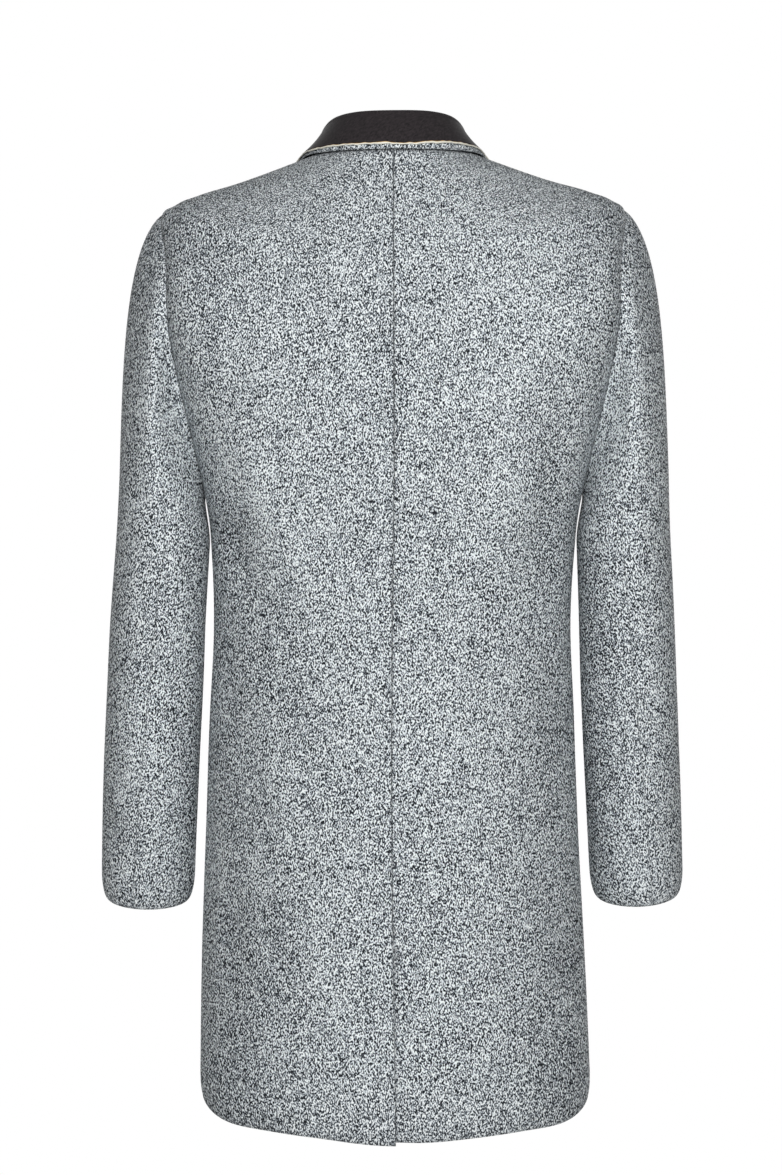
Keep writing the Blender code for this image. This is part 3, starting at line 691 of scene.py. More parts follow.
@dataclass
class CoatForm:
    """The worn body of the coat, on which every other piece is laid.

    A point has an angle round the body, 0 at centre back and half a turn at centre front, and a station,
    which counts the rings from the hem up. Heights are from the wearer's neck points.
    """

    cloth: float = 0.003
    seam_gap: float = -0.0002
    lap_gap: float = 0.0005
    hem: float = 0.0
    armpit: float = 6.0
    tip: float = 9.0
    neck: float = 12.0
    # height, side_y, half_width, back_depth, front_depth, back_rise, front_rise, squareness
    rings: Array = number_table(
        (-0.89, 0.0, 0.1854, 0.138, 0.146, -0.016, 0.002, 2.15),
        (-0.76, 0.0, 0.1818, 0.139, 0.146, -0.012, 0.0, 2.1),
        (-0.63, 0.0, 0.1763, 0.136, 0.143, -0.006, 0.0, 2.1),
        (-0.53, 0.0, 0.1729, 0.126, 0.139, -0.002, 0.0, 2.1),
        (-0.445, 0.0, 0.1692, 0.116, 0.134, 0.0, 0.0, 2.2),
        (-0.375, 0.0, 0.1718, 0.118, 0.136, 0.0, 0.0, 2.4),
        (-0.315, 0.0, 0.179, 0.126, 0.14, 0.0, 0.0, 2.6),
        (-0.18, 0.0, 0.2075, 0.131, 0.138, -0.03, -0.035, 3.0),
        (-0.095, 0.001, 0.214, 0.126, 0.131, -0.052, -0.072, 2.8),
        (-0.0485, 0.002, 0.2175, 0.119, 0.124, -0.0595, -0.0875, 2.6),
        (-0.0349, 0.003, 0.186, 0.112, 0.116, -0.0495, -0.0815, 2.4),
        (-0.0208, 0.005, 0.14, 0.098, 0.103, -0.032, -0.077, 2.2),
        (0.003, 0.008, 0.072, 0.072, 0.085, -0.002, -0.075, 2.0),
    )
    side_tilt: float = 0.010
    tilt_heights: Pair = (-0.86, -0.74)
    # height, shift to the left
    sway: Array = number_table(
        (-0.89, -0.0024),
        (-0.74, 0.0),
        (-0.66, 0.0009),
        (-0.56, 0.0013),
        (-0.44, 0.0008),
        (-0.3, -0.001),
        (-0.05, -0.0003),
    )
    # Main folds and finer creases: x_first, z_first, x_last, z_last, height, half_breadth
    back_folds: Array = number_table(
        (0.165, -0.3, 0.105, -0.48, -0.0035, 0.03),
        (0.15, -0.24, 0.085, -0.43, 0.003, 0.028),
        (-0.165, -0.3, -0.11, -0.46, -0.003, 0.028),
        (-0.14, -0.2, -0.095, -0.4, 0.003, 0.032),
        (0.15, -0.3, 0.152, -1.1, -0.0035, 0.034),
        (-0.148, -0.3, -0.15, -1.1, -0.0032, 0.034),
    )
    front_folds: Array = number_table(
        (0.16, -0.3, 0.095, -0.46, -0.003, 0.03),
        (-0.16, -0.3, -0.1, -0.45, -0.003, 0.03),
        (0.1, -0.56, 0.12, -0.85, 0.0025, 0.04),
        (-0.105, -0.58, -0.12, -0.85, 0.0025, 0.04),
    )
    back_creases: Array = number_table(
        (0.166, -0.318, 0.128, -0.43, -0.0027, 0.014),
        (0.151, -0.245, 0.054, -0.445, 0.0025, 0.016),
        (0.136, -0.448, 0.078, -0.53, -0.0016, 0.014),
        (0.16, -0.395, 0.15, -0.56, -0.002, 0.015),
        (0.113, -0.535, 0.086, -0.65, 0.0021, 0.016),
        (0.017, -0.12, 0.014, -0.285, -0.0018, 0.014),
        (0.055, -0.335, 0.022, -0.392, -0.0014, 0.015),
        (0.08, -0.632, 0.042, -0.845, 0.002, 0.022),
        (0.112, -0.67, 0.106, -0.835, -0.0015, 0.016),
        (0.152, -0.665, 0.148, -0.79, -0.0021, 0.017),
        (0.182, -0.11, 0.163, -0.215, -0.0011, 0.016),
        (0.15, -0.05, 0.146, -0.33, -0.0015, 0.025),
        (-0.133, -0.14, -0.094, -0.285, 0.0025, 0.015),
        (-0.097, -0.255, -0.08, -0.415, 0.0024, 0.016),
        (-0.153, -0.205, -0.134, -0.39, -0.0024, 0.013),
        (-0.121, -0.345, -0.16, -0.42, -0.0014, 0.011),
        (-0.056, -0.43, -0.059, -0.59, 0.0018, 0.021),
        (-0.01, -0.62, -0.074, -0.624, 0.0015, 0.01),
        (-0.036, -0.644, -0.172, -0.625, -0.0018, 0.009),
        (-0.059, -0.68, -0.067, -0.755, 0.0018, 0.015),
        (-0.166, -0.69, -0.16, -0.8, -0.0021, 0.015),
        (-0.1, -0.69, -0.112, -0.84, -0.0013, 0.014),
        (-0.15, -0.455, -0.162, -0.59, -0.0015, 0.016),
    )
    front_creases: Array = number_table(
        (0.165, -0.312, 0.112, -0.44, -0.0016, 0.011),
        (0.128, -0.3, 0.06, -0.42, 0.0017, 0.015),
        (-0.165, -0.315, -0.106, -0.455, -0.0017, 0.012),
        (-0.13, -0.29, -0.055, -0.43, 0.0016, 0.014),
        (0.12, -0.44, 0.05, -0.52, -0.0013, 0.013),
        (-0.115, -0.43, -0.06, -0.5, -0.0012, 0.012),
        (0.075, -0.62, 0.085, -0.8, 0.0014, 0.016),
        (0.145, -0.66, 0.13, -0.82, -0.0015, 0.015),
        (-0.08, -0.64, -0.09, -0.81, 0.0013, 0.015),
        (-0.148, -0.68, -0.13, -0.83, -0.0015, 0.014),
        (0.15, -0.13, 0.14, -0.25, -0.0012, 0.013),
        (-0.152, -0.135, -0.138, -0.24, -0.0011, 0.012),
    )
    # How much depth counts in the cloth's length on the body and on the shoulders, and the heights between
    slope_share: float = 0.45
    shoulder_share: float = 0.38
    shoulder_heights: Pair = (-0.14, -0.05)
    back_fullness: float = 0.040
    # Reach and depth of the tuck at hems and cuffs, which also deepens the painted shade there
    tuck: Pair = (0.028, 0.0075)
    # Depth, height, half height and half breadth of the painted shade under each arm
    underarm_shade_sizes: tuple[float, float, float, float] = (0.0080, -0.350, 0.036, 0.014)
    # Where the hanging cloth sinks: x, z, half_breadth, half_height, drop
    dips: Array = number_table(
        (0.178, -0.047, 0.02, 0.04, -0.0006),
        (-0.178, -0.047, 0.02, 0.04, -0.0009),
        (0.208, -0.06, 0.008, 0.03, 0.0046),
        (-0.209, -0.06, 0.0085, 0.03, 0.0036),
        (0.16, -0.905, 0.034, 0.05, 0.0062),
        (-0.16, -0.905, 0.034, 0.05, 0.0066),
        (0.068, -0.905, 0.028, 0.05, -0.0008),
        (-0.068, -0.905, 0.028, 0.05, -0.0006),
        (0.236, -0.72, 0.06, 0.06, 0.0024),
        (-0.236, -0.72, 0.06, 0.08, 0.0044),
    )
    # Painted shade on the back, and painted light where depth is below 0: x, z, half_breadth, half_height,
    # depth
    painted_shades: Array = number_table(
        (0.205, -0.078, 0.022, 0.04, 0.006),
        (0.17, -0.115, 0.024, 0.055, 0.0034),
        (-0.2, -0.077, 0.022, 0.04, 0.0058),
        (-0.095, -0.14, 0.055, 0.05, -0.003),
        (-0.08, -0.045, 0.02, 0.018, 0.0014),
        (-0.012, -0.01, 0.026, 0.014, -0.0014),
        (0.0, -0.4, 0.01, 0.32, 0.0014),
        (0.004, -0.205, 0.012, 0.07, 0.0014),
        (0.0, -0.8, 0.01, 0.16, 0.0008),
        (0.1, -0.34, 0.018, 0.03, 0.002),
        (-0.093, -0.34, 0.018, 0.03, 0.0022),
        (-0.125, -0.288, 0.018, 0.05, 0.0034),
        (0.132, -0.383, 0.018, 0.03, -0.0016),
        (0.095, -0.48, 0.03, 0.05, 0.0018),
        (-0.138, -0.52, 0.02, 0.06, 0.0008),
        (0.1, -0.685, 0.022, 0.045, 0.0022),
        (-0.044, -0.713, 0.034, 0.046, 0.003),
        (0.088, -0.78, 0.03, 0.06, 0.0014),
        (0.155, -0.862, 0.045, 0.04, 0.004),
        (-0.155, -0.862, 0.045, 0.04, 0.0038),
        (0.19, -0.165, 0.014, 0.04, -0.0016),
        (0.168, -0.345, 0.016, 0.03, 0.0034),
        (-0.165, -0.345, 0.016, 0.03, 0.0018),
        (0.165, -0.665, 0.018, 0.05, -0.0024),
        (-0.16, -0.69, 0.02, 0.045, -0.0022),
        (0.075, -0.905, 0.03, 0.02, 0.0016),
        (0.088, -0.65, 0.026, 0.2, 0.0015),
        (0.0, -0.76, 0.3, 0.24, 0.0005),
        (0.08, -0.905, 0.075, 0.02, 0.0018),
        (-0.08, -0.905, 0.075, 0.02, 0.0018),
    )
    fold_fade: float = 0.35
    side_fade: float = 0.30
    crease_margin: float = 0.16
    armhole_back: float = math.radians(20)
    armhole_front: float = math.radians(25)
    armhole_round: float = 0.6
    # Stations between which the side seam goes over to the set-in seam, and this one grows finer by a share
    set_in: Pair = (5.7, 6.0)
    finer: Pair = (7.0, 8.3)
    finer_share: float = 0.7
    front_lap: float = 0.022
    front_lift_height: float = 0.003 + 0.0009
    lift_from: float = 0.105
    lift_full: float = 0.048
    lift_fade: Pair = (7.4, 8.2)
    roll_foot: Pair = (-0.022, -0.270)
    roll_head: Pair = (0.062, -0.010)
    # Rows below the armhole, beside it, above it and by the collar, and the stations that the last ones take
    row_counts: tuple[int, int, int, int] = (118, 65, 25, 37)
    collar_stations: float = 0.6
    # How far past the centre lines a panel is looked for, as an angle
    past_centre: float = 0.4
    # First guess, number of steps and longest step in the search for a place on the front
    rough_half_width: float = 0.2
    rough_heights: Triple = (-0.90, -0.31, -0.07)
    search_steps: int = 30
    longest_step: float = 0.2

    def ring(self, station: Array) -> Array:
        """The ring table's columns at a station."""
        return np.moveaxis(spline(self.rings, station), -1, 0)

    def half_width(self, station: Array) -> Array:
        """Half the body's width at a station."""
        return self.ring(station)[2]

    def armhole_share(self, station: Array) -> Array:
        """How far up the armhole's height a station lies."""
        return np.clip((station - self.armpit) / (self.tip - self.armpit), 0, 1)

    def body(self, angle: Array, station: Array) -> Array:
        """Outer face without folds: superellipse rings whose centre lines rise by the square of the cosine.

        Over the shoulder blade the back stands out by the square of the sine, most at mid-armhole.

        Args:
            angle: angle round the wearer's left half.
            station: place between the rings.

        Returns:
            Points.
        """
        height, side_y, half_width, back_depth, front_depth, *rises, square = self.ring(station)
        sine, cosine = np.sin(angle), np.cos(angle)
        radius = (np.abs(sine) ** square + np.abs(cosine) ** square) ** (-1 / square)
        depth = np.where(cosine > 0, back_depth, front_depth)
        rise = np.where(cosine > 0, *rises)
        full = self.back_fullness * np.sin(HALF * self.armhole_share(station)) ** 2 * sine**2
        x = half_width * radius * sine
        y = side_y + depth * radius * cosine + np.where(cosine > 0, full, 0)
        return np.stack([x, y, height + rise * cosine**2], axis=-1)

    def slopes(self, angle: Array, station: Array) -> tuple[Array, Array]:
        """Ways round and up the body from one step before a point to one step after it."""
        along = self.body(angle + SLOPE_STEP, station) - self.body(angle - SLOPE_STEP, station)
        return along, self.body(angle, station + SLOPE_STEP) - self.body(angle, station - SLOPE_STEP)

    def outward(self, angle: Array, station: Array) -> Array:
        """Unit normal of the body: its slope up crossed with its slope round."""
        along, up = self.slopes(angle, station)
        return unit(np.cross(up, along))

    def armhole_angle(self, station: Array, scoop: float) -> Array:
        """How far the armhole edge lies in from the side line: a power of a half sine over its height."""
        return scoop * np.sin(HALF * self.armhole_share(station)) ** self.armhole_round

    def fold_height(self, side: Side, angle: Array, station: Array) -> Array:
        """Height of the folds and creases, each set fading at the sides, the creases at the armholes too.

        Args:
            side: half of the coat.
            angle: angle round that half.
            station: place between the rings.

        Returns:
            Distance by which the cloth stands out.
        """
        base = self.body(angle, station)
        x, z = side.value * base[..., 0], base[..., 2]
        sets = (
            (1, self.back_folds, self.back_creases, self.armhole_back),
            (-1, self.front_folds, self.front_creases, self.armhole_front),
        )
        height = np.zeros_like(x)
        for facing, folds, creases, scoop in sets:
            shown = smooth_step(facing * np.cos(angle) / self.side_fade)
            inside = facing * (QUARTER - angle) - self.armhole_angle(station, scoop)
            finer = smooth_step(inside / self.crease_margin) * line_folds(x, z, creases, self.fold_fade)
            height = height + shown * (line_folds(x, z, folds, self.fold_fade) + finer)
        return height

    def on_body(self, side: Side, angle: Array, station: Array, offset: Array) -> tuple[Array, Array]:
        """Points of the folded body on one side, moved out by the offset.

        Args:
            side: half of the coat.
            angle: angle round that half.
            station: place between the rings.
            offset: distance out from the outer face.

        Returns:
            The points and the directions away from the wearer.
        """
        angle, station = np.broadcast_arrays(np.asarray(angle, float), np.asarray(station, float))
        normal = self.outward(angle, station)
        height = self.fold_height(side, angle, station) + offset
        points = self.body(angle, station) + normal * height[..., None]
        return points * side.mirror, normal * side.mirror

    def tucked(self, distance: Array) -> Array:
        """How far cloth is tucked in at this distance from its hem: a quarter of an ellipse."""
        reach, depth = self.tuck
        return depth * (1 - np.sqrt(1 - np.clip(1 - distance / reach, 0, 1) ** 2))

    def hem_tuck(self, station: Array) -> Array:
        """How far a body panel is tucked in at a station."""
        return self.tucked((station - self.hem) * (self.rings[1, 0] - self.rings[0, 0]))

    def painted_shade(self, distance: Array, z: Array) -> Array:
        """Depth of the painted shade under the arm: a bell in height and a bell in distance from the armhole.
        """
        depth, middle, half_height, half_breadth = self.underarm_shade_sizes
        return depth * bell((z - middle) / half_height, distance / half_breadth)

    def painted_shading(self, side: Side, angle: Array, station: Array) -> Array:
        """Painted light and shade of a panel: its folds' height less the painted shades and the tuck."""
        behind = angle < QUARTER
        edge = np.where(behind, self.back_edge(station) - angle, angle - self.front_side_edge(station))
        points = self.body(angle, station)
        painted_shade = self.painted_shade(edge * np.hypot(points[..., 0], points[..., 1]), points[..., 2])
        shade_x, shade_z, breadth, height, depth = self.painted_shades.T
        aside = (side.value * points[..., :1] - shade_x) / breadth
        painted_shades = depth * bell(aside, (points[..., 2:] - shade_z) / height)
        painted_shade += np.where(behind, np.sum(painted_shades, axis=-1), 0)
        return self.fold_height(side, angle, station) - painted_shade - self.hem_tuck(station)

    def angle_grid(self, first: Array, last: Array, stations: Array) -> Array:
        """Angles from the first to the last edge of each ring, at even lengths with close ones by the edges.

        Args:
            first: angle of the first edge at each station.
            last: angle of the last edge at each station.
            stations: the rows.

        Returns:
            Angles, a row for each station.
        """
        share = np.linspace(0, 1, 161)
        angles = first[:, None] + (last - first)[:, None] * share
        run = run_along(self.body(angles, stations[:, None]), 1)
        lengths = run[:, -1]
        wanted = fine_places(lengths, round(float(lengths.max()) / GRID_STEP))
        row = np.arange(len(stations))[:, None]
        short_of_next = 1 - 1e-12
        known = (row + run / lengths[:, None] * short_of_next).ravel()
        places = (row + wanted * short_of_next).ravel()
        return np.interp(places, known, angles.ravel()).reshape(wanted.shape)

    def unrolled(self, angles: Array, stations: Array, centre: float) -> tuple[Array, Array]:
        """Place of a panel's points on the flat cloth.

        The place across is the length round the ring from a centre line, and the place along is the length up
        from the hem at the same angle. Depth counts less in both, least on the shoulders, because raised
        knots crowd less on a slope.

        Args:
            angles: the panel's angles, a row for each station.
            stations: its rows.
            centre: angle of the centre line.

        Returns:
            Places across and along.
        """
        dense = np.linspace(-self.past_centre, HALF + self.past_centre, 500)
        rings = self.body(dense, stations[:, None])
        shoulder = smooth_between(rings[..., 2], *self.shoulder_heights)
        rings[..., 1] *= self.slope_share + (self.shoulder_share - self.slope_share) * shoulder
        round_ring, up = (run_along(rings, axis) for axis in (1, 0))
        table = (dense[0], dense[1] - dense[0])
        start = read_rows(*table, round_ring, np.full((len(stations), 1), centre))
        return read_rows(*table, round_ring, angles) - start, read_rows(*table, up, angles)

    def rows(self, *extra: float) -> Array:
        """Stations of a body panel's rows: close at the hem and at the armhole's ends, even elsewhere."""
        spacing = self.rings[1, 0] - self.rings[0, 0]
        below, beside, above, close = self.row_counts
        lower = np.linspace(self.hem, self.armpit, below)
        turn = np.linspace(0, HALF, beside)
        armhole = self.armpit + (self.tip - self.armpit) * (1 - np.cos(turn)) / 2
        collar = self.neck - self.collar_stations
        upper = np.concatenate([np.linspace(self.tip, collar, above), np.linspace(collar, self.neck, close)])
        return np.unique(np.concatenate([EDGE_LINES / spacing, lower, armhole, upper, extra]).round(6))

    def outer_finish(self, station: Array) -> Array:
        """Finish of a panel's outer edge: sewn at the side, rounded at the set-in sleeve, finer above."""
        finish = Edge.SEWN.line(Edge.SET_IN, smooth_between(station, *self.set_in))
        return finish * (1 - self.finer_share * smooth_between(station, *self.finer))

    def back_edge(self, station: Array) -> Array:
        """Angle of a back's outer edge: side seam, armhole, then shoulder seam."""
        trim = self.seam_gap / 2 / self.ring(station)[3]
        return QUARTER - self.armhole_angle(station, self.armhole_back) - trim

    def front_side_edge(self, station: Array) -> Array:
        """Angle of a front's outer edge: side seam, armhole, then shoulder seam."""
        trim = self.seam_gap / 2 / self.ring(station)[4]
        return QUARTER + self.armhole_angle(station, self.armhole_front) + trim

    def roll_x(self, z: Array) -> Array:
        """Roll line of the lapel in the front view."""
        (foot_x, foot_z), (head_x, head_z) = self.roll_foot, self.roll_head
        return foot_x + (head_x - foot_x) * (z - foot_z) / (head_z - foot_z)

    def front_edge(self, stations: Array) -> Array:
        """Angle of a front's free edge: past centre front below the break, along the roll line above."""
        angles = np.linspace(HALF + self.past_centre, QUARTER, 400)
        rings = self.body(angles, stations[:, None])
        past = rings[..., 0] - self.roll_x(rings[..., 2])
        after = np.clip(np.argmax(past >= 0, axis=1), 1, len(angles) - 1)
        row = np.arange(len(stations))
        low, high = past[row, after - 1], past[row, after]
        share = np.clip(-low / (high - low), 0, 1)
        roll = angles[after - 1] + (angles[after] - angles[after - 1]) * share
        below = HALF + np.arcsin(self.front_lap / self.half_width(stations))
        return np.minimum(below, roll)

    def front_lift(self, side: Side, angle: Array, station: Array) -> Array:
        """How far the left front is raised to lie over the right one."""
        if side is Side.RIGHT:
            return np.zeros_like(angle)
        x = self.half_width(station) * np.sin(angle)
        start, end = self.lift_fade
        near = smooth_between(x, self.lift_from, self.lift_full)
        return self.front_lift_height * near * smooth_between(station, end, start)

    def front_place(self, x: Array, z: Array) -> tuple[Array, Array]:
        """Angle and station of the points with this x and z on the front, by Newton's method.

        Args:
            x: sideways place on the wearer's left half.
            z: height.

        Returns:
            Angles and stations.
        """
        x, z = np.broadcast_arrays(np.asarray(x, float), np.asarray(z, float))
        angle = HALF - np.arcsin(x / self.rough_half_width)
        station = np.interp(z, self.rough_heights, (self.hem, self.armpit, self.neck))
        for _ in range(self.search_steps):
            here = self.body(angle, station)[..., (0, 2)] - np.stack([x, z], axis=-1)
            slopes = np.stack(self.slopes(angle, station), axis=-1)[..., (0, 2), :] / (2 * SLOPE_STEP)
            moves = np.linalg.solve(slopes, here[..., None])[..., 0]
            moves = np.clip(moves, -self.longest_step, self.longest_step)
            angle, station = angle - moves[..., 0], station - moves[..., 1]
        return angle, station

    def settled(self, points: Array) -> Array:
        """Points of the even coat as it hangs: tilted to a side, swung by each height's shift, sunk by dips.

        Each dip is a bell both ways: drop * exp(-(aside / half_breadth)^2 - (above / half_height)^2).

        Args:
            points: points of the even coat.

        Returns:
            The same points as they hang.
        """
        x, y, z = np.moveaxis(points, -1, 0)
        tilt = self.side_tilt * smooth_between(z, *self.tilt_heights)
        shift = np.interp(z, self.sway[:, 0], self.sway[:, 1])
        dip_x, dip_z, breadth, height, drop = self.dips.T
        bells = bell((x[..., None] - dip_x) / breadth, (z[..., None] - dip_z) / height)
        sunk = np.sum(drop * bells, axis=-1)
        return np.stack([x + shift, y, z - tilt * x - sunk], axis=-1)


@dataclass
class ClothWall:
    """One cut of cloth as a closed wall: an outer and an inner face joined all round by rolled edges."""

    node: str
    face: Array
    normals: Array
    thickness: float
    edges: dict[Border, Array]
    bolt: Pair = (0.0, 0.0)
    flat: tuple[Array, Array] | None = None
    relief: Array | None = None
    # Painted shadow beside overlapping edges and under the collar's edge
    marks: Array | None = None
    # Painted light and shade, stored for the cloth's tone
    painted_shading: Array | None = None
    near: int = len(EDGE_LINES) + 6
    seam_line: float = 0.0009

    def border_distance(self, border: Border) -> tuple[tuple[slice, slice], Array, int]:
        """Distance of the points near one side of the grid from that side's line.

        Args:
            border: the side.

        Returns:
            The part of the grid that lies near it, the distances there, and the axis along the side.
        """
        near, whole = slice(0, self.near), slice(None)
        last = slice(-self.near, None)
        part, edge, axis = {
            Border.FIRST_ROW: ((near, whole), self.face[0], 1),
            Border.LAST_ROW: ((last, whole), self.face[-1], 1),
            Border.FIRST_COLUMN: ((whole, near), self.face[:, 0], 0),
            Border.LAST_COLUMN: ((whole, last), self.face[:, -1], 0),
        }[border]
        points = self.face[part].astype(np.float32)
        apart = np.linalg.norm(points[:, :, None] - edge[None, None].astype(np.float32), axis=-1)
        return part, apart.min(axis=-1), axis

    def rolled(self) -> tuple[Array, Array, Array, Array]:
        """Drop of the outer face, rise of the inner face, press and painted shade of the cloth near the
        edges.

        Each edge rolls over as a quarter of an ellipse: depth * (1 - sqrt(1 - (1 - distance / reach)^2)).
        The press falls off as a bell over the reach, and the painted shade as one over the seam line's
        breadth.

        Returns:
            Drop, rise, press and shade, each a grid.
        """
        drop, rise, pressed, shaded = (np.zeros(self.face.shape[:2]) for _ in range(4))
        for border, line in self.edges.items():
            part, apart, axis = self.border_distance(border)
            reach, fall, lift, press, shade = (row[:, None] if axis == 0 else row[None] for row in line)
            over = 1 - np.clip(apart / reach, 0, 1)
            roll = 1 - np.sqrt(1 - over**2)
            drop[part] = np.maximum(drop[part], fall * roll)
            rise[part] = np.maximum(rise[part], lift * roll)
            pressed[part] = np.maximum(pressed[part], press * bell(apart / reach))
            shaded[part] = np.maximum(shaded[part], shade * bell(apart / self.seam_line))
        return drop, rise, pressed, shaded

    def build(self, form: CoatForm, material: Material, slot: str) -> Piece:
        """Makes the wall's object and gives each vertex its place on the cloth.

        Args:
            form: the body, for the way the coat hangs.
            material: the cloth's material.
            slot: not used.

        Returns:
            The object.
        """
        drop, rise, pressed, shaded = self.rolled()
        # Painted seam shade and painted shadow together darken the cloth towards near-black
        shaded = shaded if self.marks is None else np.maximum(shaded, self.marks)
        relief = 0.0 if self.relief is None else self.relief
        outer = self.face + self.normals * (relief - drop)[..., None]
        inner = self.face - self.normals * (self.thickness - rise)[..., None]
        rows, columns = self.face.shape[:2]
        count = rows * columns
        quads = grid_quads(rows, columns)
        index = np.arange(count).reshape(rows, columns)
        around = np.concatenate([index[0], index[1:, -1], index[-1, -2::-1], index[-2:0:-1, 0]])
        following = np.roll(around, -1)
        rim = np.stack([following, around, around + count, following + count], axis=-1)
        faces = np.concatenate([quads, quads[:, ::-1] + count, rim])
        if np.sum(grid_normals(self.face) * self.normals) < 0:
            faces = faces[:, ::-1]
        points = form.settled(np.concatenate([outer.reshape(-1, 3), inner.reshape(-1, 3)]))
        piece = new_piece(self.node + "_cloth", (points, faces.tolist()), material)
        across, along = self.flat or (run_along(self.face, 1), run_along(self.face, 0))
        flat = np.stack([across + self.bolt[0], along + self.bolt[1], -drop], axis=-1)
        back = flat + (drop - self.thickness + rise)[..., None] * UP
        add_attribute(piece, "cloth", np.concatenate([flat.reshape(-1, 3), back.reshape(-1, 3)]))
        add_attribute(piece, "pressed", np.tile(pressed.ravel(), 2))
        add_attribute(piece, "shaded", np.tile(shaded.ravel(), 2))
        if self.painted_shading is not None:
            add_attribute(piece, "painted_shading", np.tile(self.painted_shading.ravel(), 2))
        return piece

    def dress(self, piece: Piece, held: Held, rests_on: list[str]) -> None:
        """Args:
            piece: the wall's object. Not used.
            held: how the cloth is held. Not used.
            rests_on: what it lies on or hangs from. Not used.
        """
        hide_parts(self.node)


@dataclass
class Backs:
    """The two back panels, sewn along centre back and open below as a vent, the left lying over the right."""

    form: CoatForm
    collar_edge: Array
    vent_top: float = 1.46
    vent_tucked: float = 1.36
    vent_full: float = 1.12
    vent_lap: float = 0.042
    vent_opening: float = 0.02
    vent_blend: float = 0.030
    vent_gap: float = 0.0013
    # Reach of the painted shadow on the under panel beside the vent's edge
    vent_shade: float = 0.0016
    corner_drop: float = 0.0024
    corner_reach: Pair = (0.045, 0.060)
    # Reach of the painted shadow under the collar's edge
    collar_shade: float = 0.0027
    # Reach and depth of the soft painted shade below the collar
    collar_painted_shade: Pair = (0.024, 0.0024)

    def build(self, material: Material) -> None:
        """Makes both panels.

        Args:
            material: the coat cloth.
        """
        form = self.form
        vent = (self.vent_top, self.vent_tucked, self.vent_full)
        stations = form.rows(*vent, (self.vent_top + self.vent_tucked) / 2)
        rows, width = stations[:, None], form.half_width(stations)
        seam = form.seam_gap / 2 / width
        lap = self.vent_lap / width * smooth_between(stations, self.vent_tucked, self.vent_full)
        tucked = smooth_between(rows, self.vent_top, self.vent_tucked)
        opened = smooth_step((self.vent_top - stations) / self.vent_opening)
        edges = {
            Border.FIRST_ROW: Edge.HEMMED.line(),
            Border.LAST_ROW: Edge.SEWN.line(),
            Border.FIRST_COLUMN: Edge.SEWN.line(Edge.LAPPED, opened),
            Border.LAST_COLUMN: form.outer_finish(stations),
        }
        for side, under, bolt in ((Side.LEFT, 0, (0.0, 0.0)), (Side.RIGHT, 1, (1.3, 0.4))):
            angles = form.angle_grid(seam - under * lap, form.back_edge(stations), stations)
            aside = angles * width[:, None]
            near = 1 - smooth_step(aside / self.vent_blend)
            lift = -under * (form.cloth + self.vent_gap) * tucked * near
            face, normals = form.on_body(side, angles, rows, lift - form.hem_tuck(rows))
            across, above = self.corner_reach
            up = face[..., 2] - face[:1, :, 2]
            face[..., 2] -= (1 - under) * self.corner_drop * bell(aside / across, up / above)
            # Painted shadow beside the vent's edge and under the collar's edge, and a soft painted shade
            # below the collar
            marks = under * opened[:, None] * bell(np.maximum(aside, 0) / self.vent_shade)
            marks = np.maximum(marks, self.under_collar(face, self.collar_shade))
            reach, depth = self.collar_painted_shade
            painted_shading = form.painted_shading(side, angles, rows) - depth * self.under_collar(face, reach)
            flat = form.unrolled(angles, stations, 0.0)
            name = f"back_{side.word}"
            wall = ClothWall(name, face, normals, form.cloth, edges, bolt, flat, None, marks, painted_shading)
            wall.dress(wall.build(form, material, "coat_cloth"), Held.HUNG, [f"front_{side.word}"])

    def under_collar(self, face: Array, reach: float) -> Array:
        """How far the back is under the collar, for its painted shade: 1 above the edge, a bell of the
        distance below it.
        """
        edge_x, _, edge_z = self.collar_edge.T
        below = np.interp(np.abs(face[..., 0]), edge_x, edge_z, right=1.0) - face[..., 2]
        return bell(np.maximum(below, 0) / reach)


